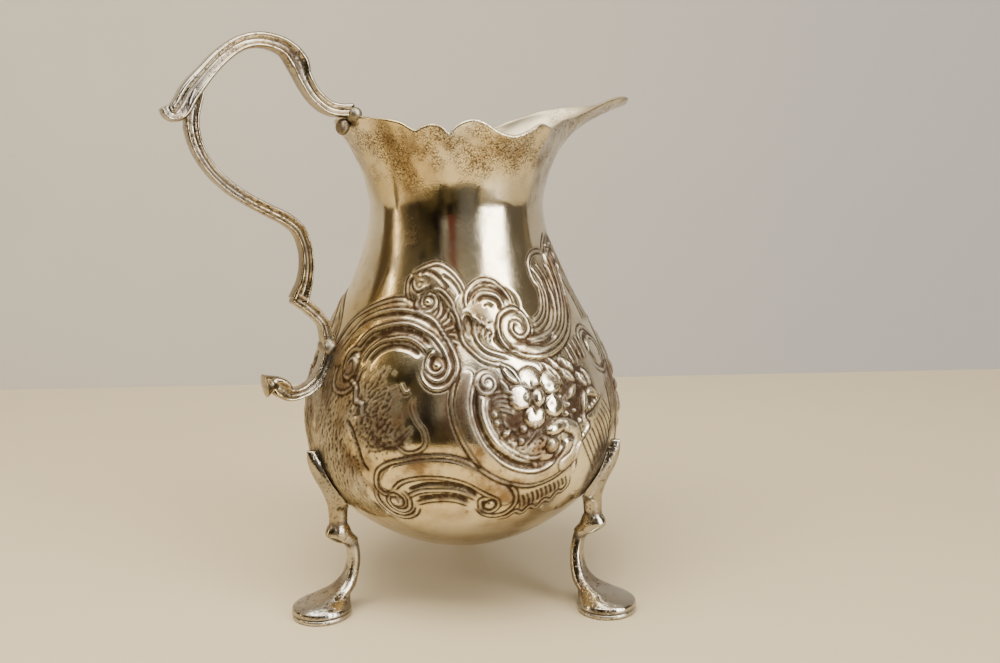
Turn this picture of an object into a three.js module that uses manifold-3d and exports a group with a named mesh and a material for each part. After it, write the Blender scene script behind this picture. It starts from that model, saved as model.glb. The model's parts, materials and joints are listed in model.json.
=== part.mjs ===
// Silver cream jug, in millimetres: a raised pear-shaped body with a scalloped rim and a drawn pouring lip,
// a cast double-scroll handle soldered at rim and belly, and three cast legs with hoof feet.
// +Z is up, +X points to the pouring lip, and the handle stands in the plane Y = 0 on the -X side.
import * as THREE from "three";
import { mergeVertices } from "three/addons/utils/BufferGeometryUtils.js";
import Module from "manifold-3d";

const wasm = await Module();
wasm.setup();

// Driving dimensions.
const wall = 0.7; // sheet thickness of the raised body
const jointGap = 0.3; // clearance that each soldered or cast joint keeps
const baseHeight = 8.9; // lowest point of the bowl above the table
const bowlDepth = 24.6; // lowest point up to the widest girth
const bellyRadius = 29.2;
const shoulderRise = 38; // widest girth up to the narrowest
const neckRadius = 15.8;
const throatRise = 15.3; // narrowest girth up to the mean scalloped edge
const rimRadius = 21.4;
const lipOut = 17; // tip of the pouring lip beyond the rim's circle
const lipRise = 3.5; // tip of the lip above the mean rim
const handleOut = 21.8; // outermost curl of the handle beyond the belly
const handleRise = 13.1; // top of the handle's arch above the mean rim
const handleScale = 1; // thickness of the handle against its drawn sections
const handleFootShare = 0.3947; // height of the handle's foot, as a share of the shoulder's rise
const handleFootStand = 1.39; // centre line of the handle's foot outside the skin
const soleRadius = 5.2;
const soleThickness = 0.9;
const soleOut = 0.3; // centre of each sole outside the belly's girth
const legWidthScale = 1; // width of the leg casting against its drawn sections
const shieldDrop = 3; // tip of each leg's shield below the widest girth
const frontLegTurn = 60; // the front soles' angle from the lip, in degrees
const frontLegTwist = 7; // how far the front shields lie forward of their soles, in degrees
const beadAngle = -168; // the bead on the rim, beside the handle
const beadRadius = 1.1;

const bellyHeight = baseHeight + bowlDepth;
const neckHeight = bellyHeight + shoulderRise;
const rimHeight = neckHeight + throatRise;

// Each girth of the bowl is [share of the way from the belly down to the base, share of the belly's
// radius].
const bowlShares = [[1, 0], [0.965, 0.24], [0.865, 0.465], [0.71, 0.675], [0.52, 0.85], [0.3, 0.96]];
// Each girth of the shoulder is [share of the way from the belly up to the neck, share of the way in to
// the neck].
const shoulderShares = [
  [0, 0], [0.1, 0.02], [0.22, 0.1], [0.34, 0.24], [0.47, 0.435], [0.61, 0.645], [0.76, 0.83], [0.89, 0.95],
];
// Each girth of the throat is [share of the way from the neck up to the rim, share of the way out to the
// rim].
const throatShares = [[0, 0], [0.22, 0.05], [0.45, 0.2], [0.68, 0.47], [0.86, 0.76], [1, 1]];

function girth(heightFrom, heightTo, radiusFrom, radiusTo, shares) {
  return shares.map(([up, out]) => new THREE.Vector2(
    radiusFrom + (radiusTo - radiusFrom) * out,
    heightFrom + (heightTo - heightFrom) * up,
  ));
}

const sideLine = new THREE.SplineCurve([
  ...girth(bellyHeight, baseHeight, 0, bellyRadius, bowlShares),
  ...girth(bellyHeight, neckHeight, bellyRadius, neckRadius, shoulderShares),
  ...girth(neckHeight, rimHeight, neckRadius, rimRadius, throatShares),
]);

// The cut edge, from the handle round to the lip. Each row is [lathe angle from the lip in degrees, share
// of the rim's radius forward, share sideways, height above the mean rim on the near side, the same on the
// far side]. Forward and sideways are left to the circle where they are null.
const edgeRows = [
  [180, null, null, 0.6, 0.6],
  [165, null, null, 0.4, 0.4],
  [150, null, null, -0.2, -0.2],
  [142.5, null, null, -0.8, -0.8],
  [135, null, null, -2.2, -2.2],
  [131.25, null, null, -1.6, -1.6],
  [127.5, null, null, -1.3, -1.3],
  [123.75, null, null, -1.7, -1.7],
  [120, null, null, -2.9, -2.9],
  [116.25, null, null, -1.6, -1.6],
  [112.5, null, null, -0.9, -0.9],
  [108.75, null, null, -0.7, -0.7],
  [105, null, null, -1.1, -1.1],
  [97.5, null, null, -2.8, -2.8],
  [90, null, null, -3.4, -3.4],
  [82.5, null, null, -2.7, -2.7],
  [75, null, null, -1.5, -1.5],
  [67.5, 0.43, 0.855, -2, -2],
  [60, 0.58, 0.7, -1.3, -1.9],
  [52.5, 0.735, 0.565, -0.3, -0.6],
];
// The long edges of the lip: [lathe angle, share of the way from the rim to the tip, half width as a share
// of the rim's radius, height on the near side and on the far side as shares of the lip's rise].
const lipRows = [
  [45, -0.14, 0.453, 0.1, 0.3],
  [37.5, 0.08, 0.383, 0.4, 0.65],
  [30, 0.32, 0.322, 0.75, 0.8],
  [22.5, 0.54, 0.266, 1.05, 0.85],
  [15, 0.74, 0.21, 1.22, 0.87],
  [7.5, 0.91, 0.126, 1.2, 0.95],
  [0, 1, 0, 1, 1],
];

const edgePoints = (side) => [
  ...edgeRows.map(([angle, forward, sideways, near, far]) => new THREE.Vector3(
    rimRadius * (forward ?? Math.cos(THREE.MathUtils.degToRad(angle))),
    rimRadius * (sideways ?? Math.sin(THREE.MathUtils.degToRad(angle))) * side,
    rimHeight + (side < 0 ? near : far),
  )),
  ...lipRows.map(([, along, half, near, far]) => new THREE.Vector3(
    rimRadius + lipOut * along,
    rimRadius * half * side,
    rimHeight + lipRise * (side < 0 ? near : far),
  )),
];
const edgeAngles = [...edgeRows, ...lipRows].map(([angle]) => angle);
const edgeCurves = new Map([-1, 1].map((side) => [
  side,
  new THREE.CatmullRomCurve3(edgePoints(side), false, "centripetal"),
]));

// The skin's radius at a height between the belly and the neck.
function radiusAt(height) {
  const girths = sideLine.getPoints(400).filter((point) => point.y >= bellyHeight);
  const above = girths.findIndex((point) => point.y >= height);
  const [low, high] = [girths[above - 1], girths[above]];
  return THREE.MathUtils.mapLinear(height, low.y, high.y, low.x, high.x);
}

// The point of the cut edge at a lathe angle in degrees, counted from the lip.
function edgeAt(angle) {
  const wrapped = THREE.MathUtils.euclideanModulo(angle + 180, 360) - 180;
  const turn = Math.abs(wrapped);
  const next = Math.max(1, edgeAngles.findIndex((a) => a <= turn + 1e-6));
  const part = (edgeAngles[next - 1] - turn) / (edgeAngles[next - 1] - edgeAngles[next]);
  return edgeCurves.get(wrapped < 0 ? -1 : 1).getPoint((next - 1 + part) / (edgeAngles.length - 1));
}

// A point of the outer skin: along runs from 0 at the base to 1 at the cut edge.
function skin(along, angle) {
  const side = sideLine.getPoint(along);
  const turn = THREE.MathUtils.degToRad(angle);
  const place = new THREE.Vector3(side.x * Math.cos(turn), side.x * Math.sin(turn), side.y);
  const rise = THREE.MathUtils.clamp((side.y - neckHeight) / (rimHeight - neckHeight), 0, 1);
  const edge = edgeAt(angle);
  const outward = 0.35 * rise ** 1.4 + 0.65 * rise ** 5; // the lip swells slowly, then runs out
  place.x += (edge.x - rimRadius * Math.cos(turn)) * outward;
  place.y += (edge.y - rimRadius * Math.sin(turn)) * outward;
  place.z += (edge.z - rimHeight) * rise ** 2;
  return place;
}

// The skin moved inwards by depth, square to itself.
function insetSkin(along, angle, depth) {
  const step = 0.004;
  const low = Math.max(step, along - step);
  const up = skin(Math.min(1, along + step), angle).sub(skin(low, angle));
  const round = skin(Math.max(along, step), angle + 1).sub(skin(Math.max(along, step), angle - 1));
  const outward = round.cross(up).normalize();
  return skin(along, angle).addScaledVector(outward, -depth);
}

const shares = (count, from, to) => (
  Array.from({ length: count }, (_, i) => from + ((to - from) * i) / (count - 1))
);

// A lathe of the body, whose rows are then laid on the skin. Each row is [along, depth], or an axis point.
function bodyLathe(rows, turns) {
  const outline = rows.map((row, i) => new THREE.Vector2(row.axisHeight ? 0 : 1 + i, i));
  const lathe = new THREE.LatheGeometry(outline, turns);
  const points = lathe.getAttribute("position");
  for (let turn = 0; turn <= turns; turn += 1) {
    const angle = (360 * turn) / turns - 180;
    rows.forEach((row, i) => {
      const place = row.axisHeight
        ? new THREE.Vector3(0, 0, row.axisHeight)
        : insetSkin(row.along, angle === -180 ? 180 : angle, row.depth);
      points.setXYZ(turn * rows.length + i, place.x, place.y, place.z);
    });
  }
  return lathe;
}

function solid(geometry) {
  const bare = geometry.clone();
  bare.deleteAttribute("normal");
  bare.deleteAttribute("uv");
  const merged = mergeVertices(bare, 1e-4);
  return new wasm.Manifold(new wasm.Mesh({
    numProp: 3,
    vertProperties: merged.getAttribute("position").array,
    triVerts: new Uint32Array(merged.index.array),
  }));
}

function geometryOf(shape) {
  const mesh = shape.getMesh();
  const geometry = new THREE.BufferGeometry();
  geometry.setAttribute("position", new THREE.BufferAttribute(mesh.vertProperties, 3));
  geometry.setIndex(new THREE.BufferAttribute(mesh.triVerts, 1));
  geometry.computeVertexNormals();
  return geometry;
}

// Vessel: up the outer skin, over the edge, down the inner skin and back to the axis.
function vesselGeometry() {
  const outer = shares(26, 0.035, 1).map((along) => ({ along, depth: 0 }));
  const inner = shares(20, 1, 0.05).map((along) => ({ along, depth: wall }));
  const rows = [{ axisHeight: baseHeight }, ...outer, ...inner, { axisHeight: baseHeight + wall }];
  return bodyLathe(rows, 96);
}

// Body as a full solid grown by the joint gap: what every casting and solder fillet is cut back from.
function bodyEnvelope() {
  const outer = shares(34, 0.03, 1).map((along) => ({ along, depth: -jointGap }));
  const rows = [{ axisHeight: baseHeight - jointGap }, ...outer, { axisHeight: rimHeight + jointGap }];
  return solid(bodyLathe(rows, 96)).add(solid(rimClearance()));
}

// A ring along the cut edge that keeps the joint gap above it.
function rimClearance() {
  const radius = wall / 2 + jointGap;
  const ring = new THREE.TorusGeometry(rimRadius, radius, 8, 96);
  const points = ring.getAttribute("position");
  for (let i = 0; i < points.count; i += 1) {
    const angle = THREE.MathUtils.radToDeg(Math.atan2(points.getY(i), points.getX(i)));
    const turn = THREE.MathUtils.degToRad(angle);
    const edge = edgeAt(angle);
    const off = Math.hypot(points.getX(i), points.getY(i)) - rimRadius - wall / 2;
    points.setXYZ(i, edge.x + off * Math.cos(turn), edge.y + off * Math.sin(turn), edge.z + points.getZ(i));
  }
  return ring;
}

// A closed bar: place(t, across, side) lays the ring's points, each between -1 and 1, along t from 0 to 1.
function bar(steps, sides, place) {
  const form = new THREE.CylinderGeometry(1, 1, 1, sides, steps);
  const points = form.getAttribute("position");
  for (let i = 0; i < points.count; i += 1) {
    const at = place(points.getY(i) + 0.5, points.getX(i), points.getZ(i));
    points.setXYZ(i, at.x, at.y, at.z);
  }
  return form;
}

// Handle. Rows are [reach, height, thickness in the handle's plane, width across it]. In the arch, reach
// runs from the rim out to the outermost curl and height from the rim up to the arch's top. In the grip
// below it, reach runs from the foot out to the same curl, and height from the foot up to it.
const rimBack = edgeAt(180);
const handleReach = bellyRadius + handleOut;
const curlShare = 0.116; // height of the outermost curl within the arch
const archHeight = (share) => rimBack.z + (rimHeight + handleRise - rimBack.z) * share;
const archPoint = ([reach, height]) => new THREE.Vector3(
  -(rimRadius + (handleReach - rimRadius) * reach),
  0,
  archHeight(height),
);
const footHeight = bellyHeight + shoulderRise * handleFootShare;
const footReach = radiusAt(footHeight) + handleFootStand;
const gripPoint = ([reach, height]) => new THREE.Vector3(
  -(footReach + (handleReach - footReach) * reach),
  0,
  footHeight + (archHeight(curlShare) - footHeight) * height,
);

const archRows = [
  [-0.068, 0.128, 1.9, 3],
  [0.005, 0.112, 2.1, 3],
  [0.088, 0.149, 2.2, 2.8],
  [0.17, 0.301, 2.3, 2.7],
  [0.231, 0.539, 2.5, 2.8],
  [0.261, 0.733, 3.2, 3],
  [0.326, 0.91, 2.6, 2.9],
  [0.441, 1, 2.3, 2.8],
  [0.559, 0.967, 2.2, 2.7],
  [0.679, 0.794, 2.3, 2.7],
  [0.781, 0.56, 2.5, 2.8],
  [0.867, 0.322, 2.9, 2.9],
  [0.928, 0.136, 2.8, 2.8],
  [0.972, 0.104, 1.8, 2.2],
  [1, 0.116, 1.3, 1.6],
];
const gripTopRows = [
  [0.813, 0.383, 1.6, 2.3],
  [0.845, 0.198, 2.1, 2.5],
  [0.865, -0.007, 2.1, 2.5],
];
const gripRows = [
  [0.833, 0.898, 2, 2.4],
  [0.796, 0.828, 1.9, 2.4],
  [0.719, 0.754, 1.8, 2.4],
  [0.61, 0.689, 1.8, 2.4],
  [0.485, 0.637, 1.8, 2.4],
  [0.355, 0.592, 1.9, 2.4],
  [0.246, 0.555, 2, 2.4],
  [0.168, 0.512, 2, 2.4],
  [0.132, 0.459, 1.9, 2.4],
  [0.116, 0.401, 1.9, 2.5],
  [0.121, 0.334, 2, 2.6],
  [0.142, 0.28, 2.2, 2.7],
  [0.168, 0.239, 2.6, 2.8],
];
const tailRows = [
  [0.208, 0.214, 2.2, 2.9],
  [0.114, 0.172, 1.9, 2.6],
  [0.021, 0.108, 1.8, 2.5],
  [-0.005, 0.038, 2, 2.6],
  [-0.01, -0.025, 2.2, 2.7],
  [0.036, -0.096, 2, 2.6],
  [0.104, -0.15, 1.9, 2.5],
  [0.202, -0.181, 1.8, 2.5],
  [0.296, -0.181, 2.2, 2.8],
  [0.358, -0.146, 3.3, 3],
  [0.41, -0.127, 2.6, 2.5],
  [0.478, -0.134, 4, 3.4],
];
const placed = (rows, point) => rows.map((row) => ({ at: point(row), thick: row[2], wide: row[3] }));
const upperScroll = placed(archRows, archPoint);
const lowerScroll = [...placed(gripTopRows, archPoint), ...placed(gripRows, gripPoint)];
const tailScroll = placed(tailRows, gripPoint);

// A scroll of the handle: flat on its outer face, and drawn to a soft ridge on its inner one.
function scroll(rows, steps, grow = 0) {
  const line = new THREE.CatmullRomCurve3(rows.map(({ at }) => at));
  const sizes = new THREE.CatmullRomCurve3(rows.map(({ thick, wide }) => (
    new THREE.Vector3(thick * handleScale + 2 * grow, wide * handleScale + 2 * grow, 0)
  )));
  return bar(steps, 10, (t, across, side) => {
    const length = Math.max(Math.hypot(across, side), 1e-9);
    const ridge = across < 0 ? -(Math.abs(across / length) ** 1.3) : (across / length) ** 0.6;
    const along = line.getTangent(t);
    const outward = new THREE.Vector3(-along.z, 0, along.x);
    const size = sizes.getPoint(t);
    return line.getPoint(t)
      .addScaledVector(outward, (ridge * length * size.x) / 2)
      .add(new THREE.Vector3(0, (side * size.y) / 2, 0));
  });
}

// Leg. Each row is [height, outward from the sole's centre, depth, width]; heights are shares of the way
// from the joint over the sole up to the tip of the shield, which lies against the bowl. The hoof's other
// three values are shares of the sole's radius, so that it always covers its sole.
const legRadius = bellyRadius + soleOut;
const legFoot = soleThickness + jointGap;
const legHeight = bellyHeight - shieldDrop;
const hoofRows = [
  [0.003, 0, 2.038, 2.038],
  [0.027, 0, 1.981, 1.962],
  [0.048, -0.096, 1.808, 1.692],
  [0.074, -0.346, 1.365, 1.269],
];
const shankRows = [
  [0.115, -4.15, 4.5, 4.6],
  [0.167, -5.45, 3.1, 3.6],
  [0.23, -6.15, 2.6, 3.2],
  [0.292, -6.45, 2.4, 3],
  [0.375, -6.05, 2.6, 3.1],
  [0.412, -4.95, 4.6, 3.6],
  [0.453, -3.85, 4.9, 3.9],
  [0.495, -3.75, 4.2, 3.6],
  [0.526, -3.85, 3.1, 3.2],
  [0.604, -3.95, 3.2, 3.6],
  [0.667, -4.05, 4, 6.2],
  [0.75, -3.45, 4.6, 6.4],
  [0.844, -2.05, 4.6, 4.6],
  [0.927, -0.75, 3.6, 2.8],
  [1, 0.15, 2.2, 1],
];
const legRows = [
  ...hoofRows.map(([height, ...sizes]) => [height, ...sizes.map((share) => share * soleRadius)]),
  ...shankRows,
];

function legGeometry(envelope, twist) {
  const up = new THREE.Vector3(0, 0, 1);
  const line = new THREE.CatmullRomCurve3(legRows.map(([height, out]) => (
    new THREE.Vector3(legRadius + out, 0, legFoot + (legHeight - legFoot) * height)
  )));
  const sizes = new THREE.CatmullRomCurve3(legRows.map(([, , deep, wide]) => (
    new THREE.Vector3(deep, wide * legWidthScale, 0)
  )));
  const casting = solid(bar(40, 12, (t, across, side) => {
    const middle = line.getPoint(t);
    const size = sizes.getPoint(t);
    const lean = THREE.MathUtils.degToRad(twist) * THREE.MathUtils.smoothstep(middle.z / legHeight, 0.1, 0.5);
    const spot = new THREE.Vector3(middle.x - (across * size.x) / 2, (side * size.y) / 2, middle.z);
    return spot.applyAxisAngle(up, lean);
  }));
  return geometryOf(casting.subtract(envelope));
}

function soleGeometry() {
  const rounded = 0.2;
  const profile = [
    new THREE.Vector2(0, 0),
    new THREE.Vector2(soleRadius - rounded, 0),
    new THREE.Vector2(soleRadius, rounded),
    new THREE.Vector2(soleRadius, soleThickness),
    new THREE.Vector2(0, soleThickness),
  ];
  const sole = new THREE.LatheGeometry(profile, 24);
  return sole.rotateX(Math.PI / 2).translate(legRadius, 0, 0);
}

// A drop of solder, drawn out along its three axes.
function drop(radius, stretch, place) {
  return new THREE.SphereGeometry(radius, 14, 10).scale(...stretch).translate(...place);
}

function silver(color, roughness) {
  return new THREE.MeshStandardMaterial({ color, roughness, metalness: 1 });
}

const jug = new THREE.Group();
function addPiece(name, geometry, material, turn = 0) {
  const mesh = new THREE.Mesh(geometry, material);
  mesh.name = name;
  mesh.rotation.z = THREE.MathUtils.degToRad(turn);
  jug.add(mesh);
}

const polished = 0xcbbf9f;
const cast = 0xc9bda0;
const worn = 0xa39a84;
const soldered = 0xb8b2a0;

const envelope = bodyEnvelope();
const upperGrown = solid(scroll(upperScroll, 56, jointGap));
const lowerGrown = solid(scroll(lowerScroll, 40, jointGap));
const tailGrown = solid(scroll(tailScroll, 44, jointGap));

addPiece("jug_body", vesselGeometry(), silver(polished, 0.22));
addPiece(
  "handle_upper_scroll",
  geometryOf(solid(scroll(upperScroll, 56)).subtract(envelope)),
  silver(cast, 0.25),
);
addPiece(
  "handle_lower_scroll",
  geometryOf(solid(scroll(lowerScroll, 40)).subtract(upperGrown)),
  silver(cast, 0.25),
);
addPiece(
  "handle_tail_scroll",
  geometryOf(solid(scroll(tailScroll, 44)).subtract(envelope).subtract(lowerGrown)),
  silver(cast, 0.27),
);

// Solder drops: the rim's hangs under the handle's end on the near side, and the foot's fills the tail's
// contact.
const rimDrop = drop(1.4, [1, 1.3, 1.15], [rimBack.x - 0.2, -0.6, rimBack.z - 1.3]);
addPiece(
  "handle_rim_solder",
  geometryOf(solid(rimDrop).subtract(envelope).subtract(upperGrown)),
  silver(soldered, 0.45),
);
const footDrop = drop(2, [1, 1.2, 1.1], [0.4 - footReach, 0, footHeight + 0.1]);
addPiece(
  "handle_foot_solder",
  geometryOf(solid(footDrop).subtract(envelope).subtract(tailGrown)),
  silver(soldered, 0.35),
);
const beadSeat = edgeAt(beadAngle).add(new THREE.Vector3(0, 0, beadRadius - jointGap));
addPiece(
  "rim_bead",
  geometryOf(solid(drop(beadRadius, [1, 1, 1], beadSeat.toArray())).subtract(envelope).subtract(upperGrown)),
  silver(soldered, 0.35),
);

const legPlaces = [
  { place: "back", turn: 180, twist: 0 },
  { place: "front_near", turn: -frontLegTurn, twist: frontLegTwist },
  { place: "front_far", turn: frontLegTurn, twist: -frontLegTwist },
];
for (const { place, turn, twist } of legPlaces) {
  addPiece(`leg_${place}`, legGeometry(envelope, twist), silver(cast, 0.25), turn);
  addPiece(`sole_${place}`, soleGeometry(), silver(worn, 0.4), turn);
}

// The frame's origin lies on the table, under the middle of the whole jug's box.
const box = new THREE.Box3().setFromObject(jug, true);
jug.position.set(-(box.min.x + box.max.x) / 2, -(box.min.y + box.max.y) / 2, -box.min.z);

export default jug;
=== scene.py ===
# Silver cream jug on three hoof feet: a raised body chased with scrolls and flowers, a cast double-scroll
# handle, and three cast legs. Lengths are in millimetres until a mesh is made.
import json
import math

import bpy
import numpy as np
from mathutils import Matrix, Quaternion, Vector

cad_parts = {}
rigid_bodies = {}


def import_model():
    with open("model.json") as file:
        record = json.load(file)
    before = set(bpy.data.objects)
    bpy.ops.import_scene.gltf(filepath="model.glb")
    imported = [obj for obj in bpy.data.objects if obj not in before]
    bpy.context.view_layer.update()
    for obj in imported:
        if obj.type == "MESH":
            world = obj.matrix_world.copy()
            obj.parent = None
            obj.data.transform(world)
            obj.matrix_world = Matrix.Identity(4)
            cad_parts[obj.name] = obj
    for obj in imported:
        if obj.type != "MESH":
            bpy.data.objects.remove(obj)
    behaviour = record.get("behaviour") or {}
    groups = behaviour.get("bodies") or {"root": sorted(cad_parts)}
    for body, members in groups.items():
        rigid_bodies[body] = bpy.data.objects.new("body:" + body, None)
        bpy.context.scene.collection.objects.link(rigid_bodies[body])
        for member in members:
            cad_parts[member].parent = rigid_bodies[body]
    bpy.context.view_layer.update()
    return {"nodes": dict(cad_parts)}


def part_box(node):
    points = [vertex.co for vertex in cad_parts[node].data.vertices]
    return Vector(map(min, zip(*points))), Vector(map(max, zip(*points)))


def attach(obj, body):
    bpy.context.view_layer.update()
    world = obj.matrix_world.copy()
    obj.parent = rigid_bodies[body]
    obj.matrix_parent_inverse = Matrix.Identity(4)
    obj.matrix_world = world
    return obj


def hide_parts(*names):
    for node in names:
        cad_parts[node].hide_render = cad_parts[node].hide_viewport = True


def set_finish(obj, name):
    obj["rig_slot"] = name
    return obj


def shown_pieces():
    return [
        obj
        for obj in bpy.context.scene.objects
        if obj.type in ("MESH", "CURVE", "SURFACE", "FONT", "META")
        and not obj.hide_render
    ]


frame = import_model()
mm = 0.001
rng = np.random.default_rng(7)
print("frame loaded:", len(frame["nodes"]), "nodes")


# curves and meshes
def catmull(points, at, power=0.5):
    # Catmull-Rom line through points, taken at shares of its point count; power 0 is uniform, 0.5 centripetal
    pts = np.asarray(points, float)
    pts = np.vstack([2 * pts[0] - pts[1], pts, 2 * pts[-1] - pts[-2]])
    place = np.asarray(at, float) * (len(points) - 1)
    first = np.minimum(place.astype(int), len(points) - 2)
    w = (place - first)[:, None]
    p0, p1, p2, p3 = (pts[first + k] for k in range(4))
    d01, d12, d23 = (
        np.maximum(np.linalg.norm(b - a, axis=1), 1e-9)[:, None] ** power
        for a, b in ((p0, p1), (p1, p2), (p2, p3))
    )
    m1 = ((p1 - p0) / d01 - (p2 - p0) / (d01 + d12) + (p2 - p1) / d12) * d12
    m2 = ((p2 - p1) / d12 - (p3 - p1) / (d12 + d23) + (p3 - p2) / d23) * d12
    return (
        (2 * w**3 - 3 * w**2 + 1) * p1
        + (w**3 - 2 * w**2 + w) * m1
        + (-2 * w**3 + 3 * w**2) * p2
        + (w**3 - w**2) * m2
    )


def smooth(low, high, x):
    t = np.clip((np.asarray(x, float) - low) / (high - low), 0, 1)
    return t * t * (3 - 2 * t)


def unit(v):
    return v / np.maximum(np.linalg.norm(v, axis=-1, keepdims=True), 1e-12)


def makeMesh(name, points, quads, triangles=(), slot=None, replaces=(), attributes=None):
    # points in millimetres in the frame's own axes; quads and triangles as index rows
    quads = np.asarray(quads, np.int32).reshape(-1, 4)
    triangles = np.asarray(triangles, np.int32).reshape(-1, 3)
    mesh = bpy.data.meshes.new(name)
    mesh.vertices.add(len(points))
    mesh.vertices.foreach_set("co", (np.asarray(points, np.float32) * mm).ravel())
    mesh.loops.add(quads.size + triangles.size)
    mesh.loops.foreach_set("vertex_index", np.concatenate([quads.ravel(), triangles.ravel()]))
    mesh.polygons.add(len(quads) + len(triangles))
    starts = np.concatenate([np.arange(len(quads)) * 4, quads.size + np.arange(len(triangles)) * 3])
    mesh.polygons.foreach_set("loop_start", starts.astype(np.int32))
    mesh.polygons.foreach_set("use_smooth", np.ones(len(starts), bool))
    mesh.update(calc_edges=True)
    for key, values in (attributes or {}).items():
        layer = mesh.attributes.new(key, "FLOAT", "POINT")
        layer.data.foreach_set("value", np.asarray(values, np.float32).ravel())
    mesh.validate()
    piece = bpy.data.objects.new(name, mesh)
    bpy.context.scene.collection.objects.link(piece)
    if replaces:
        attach(piece, "root")
        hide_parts(*replaces)
    if slot:
        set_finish(piece, slot)
    return piece


def gridQuads(rows, columns, closed=True, first=0):
    # quads of a grid whose columns wrap round when closed
    span = columns if closed else columns - 1
    r, c = np.meshgrid(np.arange(rows - 1), np.arange(span), indexing="ij")
    n = (c + 1) % columns
    corners = [r * columns + c, r * columns + n, (r + 1) * columns + n, (r + 1) * columns + c]
    return np.stack(corners, -1).reshape(-1, 4) + first


def tube(rings):
    # points and faces of a closed tube from rings of points, shape (rings, sides, 3), with a fan on each end
    count, sides = rings.shape[:2]
    points = np.vstack([rings.reshape(-1, 3), rings[0].mean(0), rings[-1].mean(0)])
    quads = gridQuads(count, sides)
    k = np.arange(sides)
    n = (k + 1) % sides
    start = np.stack([np.full(sides, count * sides), n, k], -1)
    last = (count - 1) * sides
    end = np.stack([np.full(sides, count * sides + 1), last + k, last + n], -1)
    return points, quads, np.vstack([start, end])


# body: its plain skin
jug = dict(
    wall=0.7,
    baseHeight=8.9,
    bellyHeight=33.5,
    bellyRadius=29.2,
    neckHeight=71.5,
    neckRadius=15.8,
    rimHeight=86.8,
    rimRadius=21.4,
    lipReach=38.4,
    lipRise=3.5,
    bowl=[(1, 0), (0.965, 0.24), (0.865, 0.465), (0.71, 0.675), (0.52, 0.85), (0.3, 0.96)],
    shoulder=[
        (0, 0), (0.1, 0.02), (0.22, 0.1), (0.34, 0.24), (0.47, 0.435), (0.61, 0.645), (0.76, 0.83),
        (0.89, 0.95),
    ],
    throat=[(0, 0), (0.22, 0.05), (0.45, 0.2), (0.68, 0.47), (0.86, 0.76), (1, 1)],
    # cut edge where it keeps to the circle: angle from the lip, height over the rim's level
    edge=[
        (180, 0.6), (165, 0.4), (150, -0.2), (142.5, -0.8), (135, -2.2), (131.25, -1.6), (127.5, -1.3),
        (123.75, -1.7), (120, -2.9), (116.25, -1.6), (112.5, -0.9), (108.75, -0.7), (105, -1.1),
        (97.5, -2.8), (90, -3.4), (82.5, -2.7), (75, -1.5),
    ],
    # where it leaves the circle: angle, forward and sideways shares of the rim's radius, near and far height
    cheek=[(67.5, 0.43, 0.855, -2, -2), (60, 0.58, 0.7, -1.3, -1.9), (52.5, 0.735, 0.565, -0.3, -0.6)],
    # lip: angle, way from rim to tip, half width, near and far shares of the lip's rise
    lip=[
        (45, -0.14, 9.7, 0.1, 0.3),
        (37.5, 0.08, 8.2, 0.4, 0.65),
        (30, 0.32, 6.9, 0.75, 0.8),
        (22.5, 0.54, 5.7, 1.05, 0.85),
        (15, 0.74, 4.5, 1.22, 0.87),
        (7.5, 0.91, 2.7, 1.2, 0.95),
        (0, 1, 0, 1, 1),
    ],
    flare=[(0.35, 1.4), (0.65, 5)],  # share and power of the rise: the lip swells slowly, then runs out
    sideSamples=6001,
)
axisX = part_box("jug_body")[1].x / mm - jug["lipReach"]


def girths(low, high, inner, outer, shares):
    return [(inner + (outer - inner) * o, low + (high - low) * u) for u, o in shares]


sidePoints = (
    girths(jug["bellyHeight"], jug["baseHeight"], 0, jug["bellyRadius"], jug["bowl"])
    + girths(jug["bellyHeight"], jug["neckHeight"], jug["bellyRadius"], jug["neckRadius"], jug["shoulder"])
    + girths(jug["neckHeight"], jug["rimHeight"], jug["neckRadius"], jug["rimRadius"], jug["throat"])
)
sideTable = catmull(sidePoints, np.linspace(0, 1, jug["sideSamples"]), power=0)


def radiusAt(height):
    return np.interp(height, sideTable[:, 1], sideTable[:, 0])


edgeAngles = np.array([row[0] for row in jug["edge"] + jug["cheek"] + jug["lip"]], float)
edgePoints = {}
for hand in (-1, 1):  # near side, far side
    pts = []
    for angle, height in jug["edge"]:
        turn = math.radians(angle)
        pts.append((
            jug["rimRadius"] * math.cos(turn),
            jug["rimRadius"] * math.sin(turn) * hand,
            jug["rimHeight"] + height,
        ))
    for _, forward, sideways, *heights in jug["cheek"]:
        pts.append((
            jug["rimRadius"] * forward,
            jug["rimRadius"] * sideways * hand,
            jug["rimHeight"] + heights[hand > 0],
        ))
    for _, along, halfWidth, *rises in jug["lip"]:
        pts.append((
            jug["rimRadius"] + (jug["lipReach"] - jug["rimRadius"]) * along,
            halfWidth * hand,
            jug["rimHeight"] + jug["lipRise"] * rises[hand > 0],
        ))
    edgePoints[hand] = pts


def edgeAt(angles):
    # points of the cut edge at lathe angles in degrees from the lip
    wrapped = (np.asarray(angles, float) + 180) % 360 - 180
    turn = np.abs(wrapped)
    share = np.interp(-turn, -edgeAngles, np.arange(len(edgeAngles))) / (len(edgeAngles) - 1)
    near, far = (catmull(edgePoints[hand], share) for hand in (-1, 1))
    return np.where((wrapped < 0)[:, None], near, far)


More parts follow.
